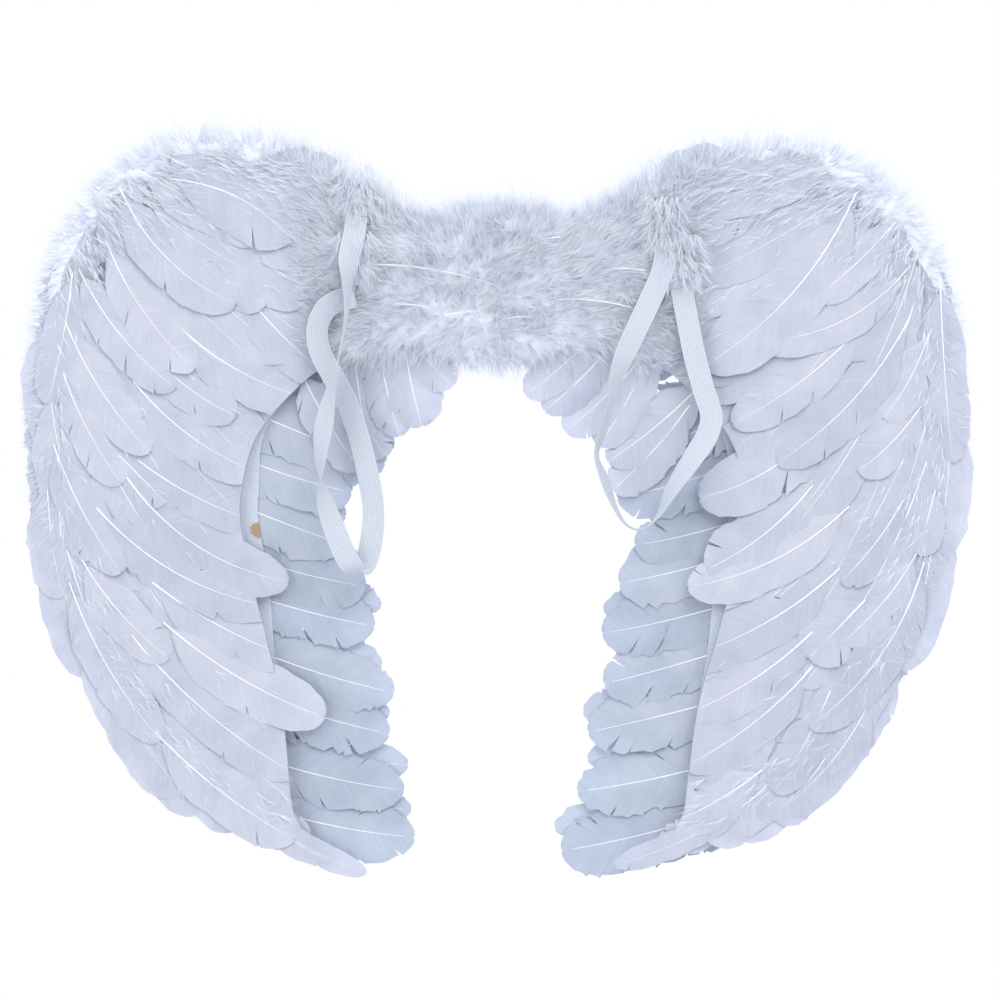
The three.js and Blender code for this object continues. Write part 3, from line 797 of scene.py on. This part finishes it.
def feather_rows_tree():
    """Lays one of several feathers at each point, turned and sized as the point says."""
    tree, given, result, ids = named_tree("feather_rows", [
        ("Points", "NodeSocketGeometry"), ("Feathers", "NodeSocketCollection"), ("Size", "NodeSocketFloat"),
        ("Seed", "NodeSocketInt"), ("Vane finish", "NodeSocketMaterial"), ("Quill finish", "NodeSocketMaterial")])
    spots = add_node(tree, "GeometryNodeMeshToPoints", {"Mesh": given["Points"]})
    size = add_node(tree, "ShaderNodeMath", {0: field(tree, "size", "FLOAT"), 1: given["Size"]}, operation="MULTIPLY")
    turn = add_node(tree, "FunctionNodeEulerToRotation", {0: field(tree, "turn", "FLOAT_VECTOR")})
    laid = laid_at(tree, spots, given["Feathers"], given["Seed"], turn, size)
    real = add_node(tree, "GeometryNodeRealizeInstances", {"Geometry": laid})
    vanes = add_node(tree, "GeometryNodeSetMaterial", {"Geometry": real, "Material": given["Vane finish"]})
    is_horn = add_node(tree, "FunctionNodeCompare", {0: field(tree, "is_quill", "FLOAT"), 1: 0.5},
                       operation="GREATER_THAN")
    quills = add_node(tree, "GeometryNodeSetMaterial", {
        "Geometry": vanes, "Selection": is_horn, "Material": given["Quill finish"]})
    tree.links.new(quills.outputs[0], result.inputs[0])
    return tree, ids


def hidden_set(name, things):
    """A collection of shapes that a tree repeats. They aren't in the scene themselves."""
    group = bpy.data.collections.new(name)
    for thing in things:
        bpy.context.scene.collection.objects.unlink(thing)
        group.objects.link(thing)
    return group


def grown(name, carrier, tree, ids, values):
    """The plain mesh that a tree makes on a carrier. The carrier and its modifier are then removed."""
    modifier = carrier.modifiers.new("grow", "NODES")
    modifier.node_group = tree
    for label, value in values.items():
        modifier[ids[label]] = value
    state = bpy.context.evaluated_depsgraph_get()
    mesh = bpy.data.meshes.new_from_object(carrier.evaluated_get(state), depsgraph=state)
    mesh.name = name
    bpy.data.objects.remove(carrier)
    return added(name, mesh)


def carrier_of(points, faces, **fields):
    """A mesh in metres whose points carry the numbers and directions that a tree reads."""
    mesh = bpy.data.meshes.new("carrier")
    mesh.from_pydata(np.array(points) * MM, [], faces)
    for label, values in fields.items():
        values = np.array(values, np.float32)
        kind, key = ("FLOAT", "value") if values.ndim == 1 else ("FLOAT_VECTOR", "vector")
        mesh.attributes.new(label, kind, "POINT").data.foreach_set(key, values.ravel())
    return added("carrier", mesh)


def rear_kinds():
    """Six plain covert feathers 1 unit long that point along +X and face +Y, for the rear of the wings."""
    kinds = []
    for i in range(6):
        rng = np.random.default_rng(700 + i)
        shape = feather(rng, -1, (0, 0), (100, 0), rng.uniform(27, 33), 0, bend=rng.uniform(-0.05, 0.05), lift=-1.5,
                        splits=2 + i % 3, face=1, roll=0.05, columns=(0.55, 1.0), rows=7)
        kind = make_piece(f"rear_kind_{i}", [shape], [covert_vane, horn])
        flags = np.array(shape["finish"], np.float32)
        kind.data.attributes.new("is_quill", "FLOAT", "FACE").data.foreach_set("value", flags)
        kinds.append(kind)
    return hidden_set("rear_kinds", kinds)


def lay_rear(wing, seed, group, tree, ids):
    """The close cover of feathers on the rear card, laid by rule."""
    rng = np.random.default_rng(seed)
    places = wing.spread(rng, 28, 14, 18, 400)
    off_rim = (distance_to(places, wing.outer) > 17) | (places[:, 1] < 0)
    places = places[(np.abs(places[:, 0]) > 70) & off_rim]
    ways = wing.heading(places[:, 0], places[:, 1])
    depths = 28.2 - wing.level(places) + rng.uniform(0, 0.3, len(places))
    spots = np.column_stack([places[:, 0], depths, places[:, 1]])
    lean = -np.arctan2(ways[:, 1], ways[:, 0]) + rng.normal(0, 0.09, len(places))
    turns = np.column_stack([np.zeros(len(places)), lean, np.zeros(len(places))])
    sizes = np.array([wing.length_within(spot, way, 100 * size) / 100 for spot, way, size in
                      zip(places, ways, rng.uniform(0.85, 1.05, len(places)))])
    # Tips stay behind the card and the roots of the flight feathers, and clear of the middle when the wing folds.
    for i, (place, way) in enumerate(zip(places, ways)):
        while sizes[i] > 0.5:
            tip = place + way * sizes[i] * 100
            over_card = inside(tip, wing.card)[0] or distance_to(tip, wing.inner)[0] < 14
            if over_card and (abs(tip[0]) > 54 or tip[1] < -80):
                break
            sizes[i] -= 0.05
    long_enough = sizes > 0.5
    spots, turns, sizes = spots[long_enough], turns[long_enough], sizes[long_enough]
    carrier = carrier_of(spots, [], turn=turns, size=sizes)
    return grown(f"{wing.name}_rear_vanes", carrier, tree, ids, {
        "Feathers": group, "Size": 1.0, "Seed": seed, "Vane finish": covert_vane, "Quill finish": horn})


rows_tree, rows_ids = feather_rows_tree()
rear_group = rear_kinds()
for name, wing in wings.items():
    piece = lay_rear(wing, 81 + wing.side, rear_group, rows_tree, rows_ids)
    stand_for(piece, f"{name}_wing", "covert_feather", f"{name}_rear_feathers_lower", f"{name}_rear_feathers_upper")
    edging = make_piece(f"{name}_rear_edge_vanes", lay_edge(wing, 47 + wing.side, 1, 17.5), [covert_vane, horn])
    stand_for(edging, f"{name}_wing", "covert_feather")


# ---------------------------------------------------------------- marabou down, grown by Geometry Nodes

def tuft(seed):
    """A tuft of eight bent barbs, 1 mm long, that rise along +Z from one root. Each is a closed three-sided spike."""
    rng = np.random.default_rng(seed)
    spots, faces = [], []
    for _ in range(8):
        around, spread = rng.uniform(0, 6.28), rng.uniform(0.04, 0.42)
        curl, length = rng.normal(0, 0.22), rng.uniform(0.6, 1.0)
        out = np.array([math.cos(around), math.sin(around), 0])
        side = np.array([-out[1], out[0], 0])
        first = len(spots)
        for share, thick in ((0, 0.008), (0.5, 0.0055)):
            centre = length * (share * np.array([0, 0, 1]) + spread * share ** 1.4 * out + curl * share ** 2 * side)
            for k in range(3):
                angle = 2 * math.pi * k / 3
                spots.append(centre + thick * (math.cos(angle) * out + math.sin(angle) * side))
        spots.append(length * (np.array([0, 0, 1]) + spread * out + curl * side))
        faces += [[first + k, first + (k + 1) % 3, first + 3 + (k + 1) % 3, first + 3 + k] for k in range(3)]
        faces += [[first + 3 + k, first + 3 + (k + 1) % 3, first + 6] for k in range(3)]
        faces.append([first, first + 2, first + 1])
    return make_piece(f"tuft_{seed}", [shape_of(np.array(spots), faces)], [down])


def down_tree():
    """Grows tufts on a mat: each leans the way the mat's flow says, and is as long as its reach says."""
    tree, given, result, ids = named_tree("marabou_down", [
        ("Mat", "NodeSocketGeometry"), ("Tufts", "NodeSocketCollection"), ("Tufts per square metre", "NodeSocketFloat"),
        ("Shortest share", "NodeSocketFloat"), ("Longest share", "NodeSocketFloat"), ("Disorder", "NodeSocketFloat"),
        ("Seed", "NodeSocketInt"), ("Keep the mat", "NodeSocketBool"), ("Down finish", "NodeSocketMaterial")])
    crowd = add_node(tree, "ShaderNodeMath", {
        0: field(tree, "crowd", "FLOAT"), 1: given["Tufts per square metre"]}, operation="MULTIPLY")
    roots = add_node(tree, "GeometryNodeDistributePointsOnFaces", {
        "Mesh": given["Mat"], "Density": crowd, "Seed": given["Seed"]})
    any_way = add_node(tree, "FunctionNodeRandomValue", {0: (-1, -1, -1), 1: (1, 1, 1), "Seed": given["Seed"]},
                       data_type="FLOAT_VECTOR")
    stray = add_node(tree, "ShaderNodeVectorMath", {0: any_way, "Scale": given["Disorder"]},
                     operation="SCALE")
    way = add_node(tree, "ShaderNodeVectorMath", {0: field(tree, "flow", "FLOAT_VECTOR"), 1: stray},
                   operation="ADD")
    risen = add_node(tree, "FunctionNodeAlignRotationToVector", {"Vector": way}, axis="Z")
    spin = add_node(tree, "FunctionNodeRandomValue", {2: 0.0, 3: 2 * math.pi, "Seed": given["Seed"]},
                    data_type="FLOAT")
    about = add_node(tree, "FunctionNodeAxisAngleToRotation", {"Axis": (0, 0, 1), "Angle": spin.outputs[1]})
    turned = add_node(tree, "FunctionNodeRotateRotation", {0: risen, 1: about},
                      rotation_space="LOCAL")
    share = add_node(tree, "FunctionNodeRandomValue", {
        2: given["Shortest share"], 3: given["Longest share"], "Seed": given["Seed"]}, data_type="FLOAT")
    length = add_node(tree, "ShaderNodeMath", {0: field(tree, "reach", "FLOAT"), 1: share.outputs[1]},
                      operation="MULTIPLY")
    grown_tufts = laid_at(tree, roots, given["Tufts"], given["Seed"], turned, length)
    kept = add_node(tree, "GeometryNodeSwitch", {0: given["Keep the mat"], 2: given["Mat"]}, input_type="GEOMETRY")
    both = add_node(tree, "GeometryNodeJoinGeometry", {0: grown_tufts})
    tree.links.new(kept.outputs[0], both.inputs[0])
    real = add_node(tree, "GeometryNodeRealizeInstances", {"Geometry": both})
    dressed = add_node(tree, "GeometryNodeSetMaterial", {
        "Geometry": real, "Material": given["Down finish"]})
    tree.links.new(dressed.outputs[0], result.inputs[0])
    return tree, ids


grow_tree, grow_ids = down_tree()
tufts = hidden_set("tufts", [tuft(seed) for seed in range(900, 908)])


def grow_down(name, seed, mat, density, disorder, keep_mat=True):
    """A piece of down, grown on a mat of so many tufts to the square metre where its crowd is 1."""
    return grown(name, mat, grow_tree, grow_ids, {
        "Tufts": tufts, "Tufts per square metre": density, "Shortest share": 0.55, "Longest share": 1.1,
        "Disorder": disorder, "Seed": seed, "Keep the mat": keep_mat, "Down finish": down})


def lumpy(x, z, seed):
    """A smooth bumpy surface, between -1 and 1, for the top of a bed of down."""
    rng = np.random.default_rng(seed)
    total = 0.0
    for _ in range(14):
        angle, pitch, phase = rng.uniform(0, 6.28), rng.uniform(9, 30), rng.uniform(0, 6.28)
        total += np.sin((x * math.cos(angle) + z * math.sin(angle)) * 6.28 / pitch + phase)
    return total / 6


def span_at(outline, x):
    """The lowest and highest Z of an outline at one X."""
    hits = []
    for (ax, az), (bx, bz) in zip(outline, np.roll(outline, -1, 0)):
        if (ax <= x) != (bx <= x):
            hits.append(az + (bz - az) * (x - ax) / (bx - ax))
    return (min(hits), max(hits)) if hits else None


def middle_bed(wing, face):
    """The bed of down from the centre of the back out over one fold and shoulder, on the front or the rear."""
    side = wing.side
    yoke = boundary("yoke_front_pad")
    shoulder = boundary(f"{wing.name}_shoulder_pad")
    furthest = 118 if face < 0 else 98
    stations = side * np.concatenate([np.linspace(0, 34, 9), np.linspace(40.5, furthest, 19)])
    front, back, flow, reach, crowd = [], [], [], [], []
    spans = np.array([span_at(yoke if abs(x) < 36 else shoulder, x) or (-30, 40) for x in stations])
    for _ in range(3):
        spans[1:-1] = (spans[:-2] + 2 * spans[1:-1] + spans[2:]) / 4
    for x, (low, high) in zip(stations, spans):
        low += 2.2 * lumpy(x * 2, 0, 7)
        fade = math.sqrt(max(0, 1 - (abs(x) / (furthest + 2)) ** 8))
        for v in np.linspace(0, 1, 17):
            z = low + (high - low) * v
            # The outer end wanders, and reaches further at the top.
            beyond = np.clip((abs(x) - 60) / 50, 0, 1) ** 2
            wander = np.interp(z, [-50, 60], [-10, 12]) + (5 if face < 0 else 10) * lumpy(0, z, 9)
            place = x + side * beyond * wander
            dome = (1 - abs(2 * v - 1) ** 4) ** 0.5 * fade
            bump = lumpy(place, z, 4) * 0.9
            if face < 0:
                y, y_back = 10.6 - 6.6 * dome - bump * dome, 11.0
            else:
                y, y_back = 15.2 + 3.4 * dome + bump * dome * 0.6, 14.8
            up = 2 * v - 1
            swirl = lumpy(place * 0.45, z * 0.45, 5)
            front.append((place, y, z))
            back.append((place, y_back, z))
            outwards = math.tanh((x + 12) / 55) * (0.8 - 0.3 * abs(up)) + 0.45 * swirl
            flow.append((outwards, -0.24 if face < 0 else 0.1, 0.2 + 1.2 * up ** 3 + 0.55 * swirl))
            reach.append((21 + 2 * max(up, 0) ** 2 - 4 * max(-up, 0) ** 2) * (1 if face < 0 else 0.68))
            crowd.append(1.0)
    front, back = np.array(front), np.array(back)
    shape = (len(stations), 17, 3)
    spots, faces = closed_grid(front.reshape(shape), back.reshape(shape))
    carrier = carrier_of(spots, faces, flow=flow * 2, reach=reach * 2, crowd=crowd + [0.0] * len(crowd))
    outward(carrier.data, 50)
    return carrier


def edge_bed(wing, seed):
    """The band of down that wraps the top and outer edges of a wing, from its fold to low on the outer edge."""
    whole = even_steps(wing.outer[np.abs(wing.outer[:, 0]) > 46], 6)
    path = whole[:int(len(whole) * 0.95)]
    # Around the edge: how far out from it, and the depth.
    section = np.array([(-17, 11.0), (-11, 9.0), (-4, 6.4), (1.5, 7.0), (3.6, 10.5), (3.6, 14.5), (1.5, 18.0),
                        (-4, 19.3), (-11, 18.6), (-16, 16.8)])
    spots, flow, reach, crowd = [], [], [], []
    lengths = np.r_[0, np.cumsum(np.linalg.norm(np.diff(path, axis=0), axis=1))]
    for i, spot in enumerate(path):
        run = path[min(i + 1, len(path) - 1)] - path[max(i - 1, 0)]
        run /= np.hypot(*run)
        out = np.array([run[1], -run[0]])
        if inside(spot + out * 4, wing.card)[0]:
            out = -out
        share = i / (len(path) - 1)
        scale = float(np.interp(share, [0, 0.05, 0.4, 0.75, 1], [0.75, 1, 1, 0.8, 0.6]))
        hair = float(np.interp(share, [0, 0.12, 0.3, 0.42, 0.6, 1], [19, 24, 21, 17, 16, 14]))
        for n, y in section:
            wobble = lumpy(lengths[i], y * 2 + n, seed) * 0.7
            place = spot + out * (n * scale + wobble)
            spots.append((place[0], MID_DEPTH + (y - MID_DEPTH) * (0.45 + 0.55 * scale), place[1]))
            outwards = 0.2 + 1.15 * np.clip((n + 9) / 13, 0, 1)
            drift = lumpy(lengths[i] * 0.6, y, seed + 3) * 0.5
            way = out * outwards + run * (0.45 + drift)
            flow.append((way[0], (y - MID_DEPTH) / 7 * 0.5, way[1]))
            reach.append(hair * (0.8 + 0.2 * outwards) * (0.58 if y > 16 else 1))
            crowd.append(float(np.interp(n, [-12, -4, 2], [1.15, 1.6, 1.5])) if y < 16 else 0.55)
    faces = tube_faces(np.arange(len(path) * len(section)).reshape(len(path), -1))
    carrier = carrier_of(spots, faces, flow=flow, reach=reach, crowd=crowd)
    outward(carrier.data, 50)
    return carrier


def loose_down(wing):
    """A thin sheet over the front feathers that loose tufts rise from, most of them near the upper edge."""
    low, high = wing.card.min(0), wing.card.max(0)
    xs, zs = np.arange(low[0], high[0], 9.0), np.arange(low[1], high[1], 9.0)
    places = np.array([(x, z) for x in xs for z in zs])
    within = inside(places, wing.card)
    away = distance_to(places, wing.outer)
    ways = wing.heading(places[:, 0], places[:, 1])
    spots = np.column_stack([places[:, 0], wing.level(places) - 2.0, places[:, 1]])
    flow = np.column_stack([ways[:, 0], np.full(len(ways), -0.16), ways[:, 1]])
    upper = np.clip((places[:, 1] + 10) / 60, 0, 1)
    # It is thickest along the outer edge, in a wide band at the top, and where the middle's down ends.
    by_edge = np.exp(-(away / (15 + 22 * upper)) ** 2)
    by_middle = np.exp(-((np.abs(places[:, 0]) - 116) / 17) ** 2) * (places[:, 1] > -52)
    crowd = (0.03 + (0.6 + 0.9 * upper) * by_edge + 0.9 * by_middle + 0.14 * upper) * within
    quads = patch_faces(np.arange(len(places)).reshape(len(xs), len(zs)))
    quads = quads[within[quads].all(1)].tolist()
    return carrier_of(spots, quads, flow=flow, reach=np.full(len(places), 17.0), crowd=crowd)


def corners(node):
    """The lowest and highest corner of a CAD node, in millimetres."""
    return [np.array(corner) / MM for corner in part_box(node)]


def end_cover(wing):
    """Small patches in front of the elastic's glued ends, whose tufts fall over them and hide the staples."""
    spots, faces, flow = [], [], []
    for end in ("upper", "lower"):
        low, high = corners(f"{wing.name}_strap_{end}_tab")
        first = len(spots)
        for x in np.linspace(low[0] - 5, high[0] + 5, 5):
            for z in np.linspace(low[2] + 1, high[2] + 16, 5):
                away = (x - (low[0] + high[0]) / 2) / 12
                spots.append((x, -1.8 + 1.2 * away ** 2, z))
                flow.append((0.5 * away, -0.16, -0.8))
        faces += patch_faces(first + np.arange(25).reshape(5, 5)).tolist()
    return carrier_of(spots, faces, flow=flow, reach=np.full(len(spots), 16.0), crowd=np.ones(len(spots)))


def bridge_fold(piece):
    """Bakes a piece's place into its mesh. It is not bent at the fold."""
    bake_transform(piece)


for name, wing in wings.items():
    side = wing.side
    cover = grow_down(f"{name}_end_cover_down", 91 + side, end_cover(wing), 300000, 0.5, keep_mat=False)
    stand_for(cover, f"{name}_wing", "marabou")
    edge = grow_down(f"{name}_edge_down", 21 + side, edge_bed(wing, 5 + side), 62000, 0.35)
    stand_for(edge, f"{name}_wing", "marabou", f"{name}_edge_fringe")
    loose = grow_down(f"{name}_loose_down", 25 + side, loose_down(wing), 66000, 0.3, keep_mat=False)
    stand_for(loose, f"{name}_wing", "marabou")
    for face, where, density, disorder in ((-1, "front", 165000, 0.32), (1, "rear", 150000, 0.26)):
        bed = grow_down(f"{name}_middle_down_{where}", 41 + side + 5 * face, middle_bed(wing, face), density, disorder)
        bridge_fold(bed)
        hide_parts(*(["yoke_front_pad", f"{name}_shoulder_pad"] if face < 0 else ["yoke_rear_pad"]))

# Bare quills that lie in the down of the middle: where each starts and ends.
MIDDLE_QUILLS = {
    "left": [((-80, 16), (-1, 3)), ((-33, -16), (-8, -14)), ((-64, -9), (-40, -12))],
    "right": [((40, 33), (27, 31)), ((21, -17), (2, -19)), ((84, -11), (38, -6)), ((93, 12), (73, 13))],
}

# Stray quills that stand up out of the down on the top of the left wing.
STRAY_QUILLS = [((-199, 93), (-214, 113), 0.9), ((-190, 95), (-187, 112), 0.6), ((-182, 96), (-183, 111), 0.6),
                ((-122, 94), (-113, 110), 0.6), ((-106, 88), (-108, 104), 0.5)]


def bare_quill(start, end, bow, depth, thick):
    """A tapered quill without its vane, bowed to one side, that dips into the down at both ends."""
    share = np.linspace(0, 1, 14)
    run = np.subtract(end, start)
    across = np.array([-run[1], run[0]]) / np.hypot(*run)
    path = start + np.outer(share, run) - np.outer(bow * np.hypot(*run) * share * (1 - share), across)
    spots, faces = rod(path, np.tile(across, (14, 1)), depth + 0.9 * (2 * share - 1) ** 2, thick * (1 - 0.6 * share))
    return shape_of(spots, faces)


parts = [bare_quill(start, end, 0.3, 9, thick) for start, end, thick in STRAY_QUILLS]
stray = make_piece("left_stray_quills", parts, [horn])
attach(stray, "left_wing")
for name, side in SIDES.items():
    parts = [bare_quill(start, end, 0.16 * side, -0.6, 0.62) for start, end in MIDDLE_QUILLS[name]]
    quills = make_piece(f"{name}_middle_quills", parts, [horn])
    bridge_fold(quills)

for group in ("tufts", "rear_kinds"):
    for thing in list(bpy.data.collections[group].objects):
        bpy.data.objects.remove(thing)


# ---------------------------------------------------------------- elastic loops

# Points along each loop: x, y, z in millimetres, then how far its width is turned from flat on the back, and how
# far it leans across the back, in degrees.
ROUTES = {
    "left": [
        (-88, -0.9, 46, 0, 0), (-89.5, -2.8, 34, 4, 0), (-92.5, -6, 20, 20, 0), (-93.5, -9.5, 5, 62, 0),
        (-93.6, -12.5, -11, 80, 0), (-95, -14.5, -25, 88, 0), (-99, -15.5, -45, 94, 0), (-103.5, -15.5, -64, 120, 0),
        (-107.5, -14.5, -84, 146, 0), (-110, -13, -103, 128, 0), (-110, -12, -118, 96, 0),
        (-108, -11, -131, 50, 0), (-102, -10.5, -149, 16, 0), (-95.5, -10, -165, 4, 0), (-91, -9, -172.5, 0, 0),
        (-86.5, -6, -175.5, 0, 0), (-82.5, -3.4, -171.5, 0, 0), (-78.5, -2.8, -156, -8, 0),
        (-77.6, -2.8, -136, -18, 0), (-81.5, -2.8, -113, -12, 0), (-87, -2.8, -91, -16, 0),
        (-94.5, -2.8, -70, -12, 0), (-103, -3, -54, -6, 0), (-111, -3.6, -38, 8, 0), (-112.5, -3.8, -24, 16, 0),
        (-107, -3.4, -12, 12, -30), (-98, -2.2, -6.5, 4, -62), (-89, -0.9, -4.5, 0, -78),
    ],
    "right": [
        (106, -0.9, 24.6, 0, 0), (104, -3.2, 12, 4, 0), (96, -6.5, -7, 8, 0), (87, -9.5, -26, 14, 0),
        (80, -12, -41, 26, 0), (73.7, -14, -57, 55, 0), (71, -15, -72, 72, 0), (66, -16, -89, 68, 0),
        (62.2, -16.5, -104, 80, 0), (67.5, -16.5, -119.7, 66, 0), (73.5, -16, -136, 78, 0),
        (81, -15.5, -147.6, 86, 0), (90, -15, -150.6, 90, 0), (99.5, -14, -143.6, 94, 0),
        (110, -11.5, -125, 130, 0), (122.5, -8.5, -106, 160, 0), (131.5, -6, -92, 174, 0),
        (134.5, -4, -80, 180, 0), (129.5, -3, -62, 180, 0), (124, -2.8, -41, 180, 0), (119, -2.2, -16, 180, 0),
        (116, -0.9, 1, 180, 0),
    ],
}
ELASTIC_WIDTH, ELASTIC_THICKNESS, RIBS, RIB_HEIGHT = 14.0, 1.2, 9, 0.24


def smooth_route(points, step):
    """Points a step apart on a smooth curve through the given ones."""
    points = np.array(points, float)
    ends = np.vstack([2 * points[0] - points[1], points, 2 * points[-1] - points[-2]])
    found = []
    for i in range(len(points) - 1):
        a, b, c, d = ends[i:i + 4]
        gaps = [np.linalg.norm((q - p)[:3]) ** 0.5 for p, q in ((a, b), (b, c), (c, d))]
        t0, t1, t2, t3 = np.cumsum([0, *gaps])
        for t in np.linspace(t1, t2, 14)[:-1]:
            ab, bc, cd = (((r - t) * p + (t - l) * q) / (r - l)
                          for p, q, l, r in ((a, b, t0, t1), (b, c, t1, t2), (c, d, t2, t3)))
            abc, bcd = ((t2 - t) * ab + (t - t0) * bc) / (t2 - t0), ((t3 - t) * bc + (t - t1) * cd) / (t3 - t1)
            found.append(((t2 - t) * abc + (t - t1) * bcd) / (t2 - t1))
    found = np.array(found + [points[-1]])
    gaps = np.r_[0, np.cumsum(np.linalg.norm(np.diff(found[:, :3], axis=0), axis=1))]
    stops = np.linspace(0, gaps[-1], int(gaps[-1] / step) + 1)
    return np.column_stack([np.interp(stops, gaps, found[:, i]) for i in range(5)])


def ribbon(line):
    """A closed band of elastic along a route, with raised ribs down both its faces."""
    centre = line[:, :3]
    run = np.gradient(centre, axis=0)
    run /= np.linalg.norm(run, axis=1)[:, None]
    turn, lean = np.radians(line[:, 3]), np.radians(line[:, 4])
    wide = np.column_stack([np.cos(lean) * np.cos(turn), np.sin(turn), np.sin(lean) * np.cos(turn)])
    wide -= (wide * run).sum(1)[:, None] * run
    wide /= np.linalg.norm(wide, axis=1)[:, None]
    out = np.cross(wide, run)
    across = np.linspace(-0.5, 0.5, RIBS * 4 + 1) * ELASTIC_WIDTH
    swell = (np.cos(across / ELASTIC_WIDTH * RIBS * 2 * math.pi) * 0.5 + 0.5) * RIB_HEIGHT
    half = ELASTIC_THICKNESS / 2 - RIB_HEIGHT + swell
    half[[0, -1]] = 0.25
    faces_at = [centre[:, None] + wide[:, None] * across[None, :, None] + out[:, None] * (s * half)[None, :, None]
                for s in (1, -1)]
    spots, faces = closed_grid(faces_at[0], faces_at[1])
    along = np.r_[0, np.cumsum(np.linalg.norm(np.diff(centre, axis=0), axis=1))]
    return shape_of(spots, faces, along=np.tile(np.repeat(along, len(across)), 2),
                    across=np.tile(across, 2 * len(along)))


for name, side in SIDES.items():
    line = smooth_route(ROUTES[name], 2.0)
    lowest = int(line[:, 2].argmin())
    for label, part, held_by in (("front", line[:lowest + 1], "upper"), ("return", line[lowest:], "lower")):
        band = make_piece(f"{name}_elastic_{label}", [ribbon(part)], [elastic])
        if label == "front":
            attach(band, f"{name}_strap")
        else:
            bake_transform(band)
        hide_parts(f"{name}_strap")
    for end in ("upper", "lower"):
        node = f"{name}_strap_{end}_tab"
        low, high = corners(node)
        x, y = (low[0] + high[0]) / 2, (low[1] + high[1]) / 2
        stretch = np.array([(x, y, z, 0, 0) for z in np.linspace(high[2], low[2] - 2.2, 12)])
        tab = make_piece(f"{name}_elastic_{end}_end", [ribbon(stretch)], [elastic])
        stand_for(tab, f"{name}_wing", "elastic", node)


# ---------------------------------------------------------------- finishes on the CAD pieces that stay

board = card_finish("grey_white_board")
card_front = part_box("left_rear_card")[0].y
stained_board = card_finish("grey_white_board_with_glue", glue_spot=(-0.151, card_front, -0.151))
kept_finishes = {"card": board, "tape": tape_finish(), "staple": staple_finish()}
for node, thing in frame["nodes"].items():
    if thing.hide_render:
        continue
    key = next(k for k in kept_finishes if k in node)
    finish = stained_board if node == "left_rear_card" else kept_finishes[key]
    thing.data.materials.clear()
    thing.data.materials.append(finish)
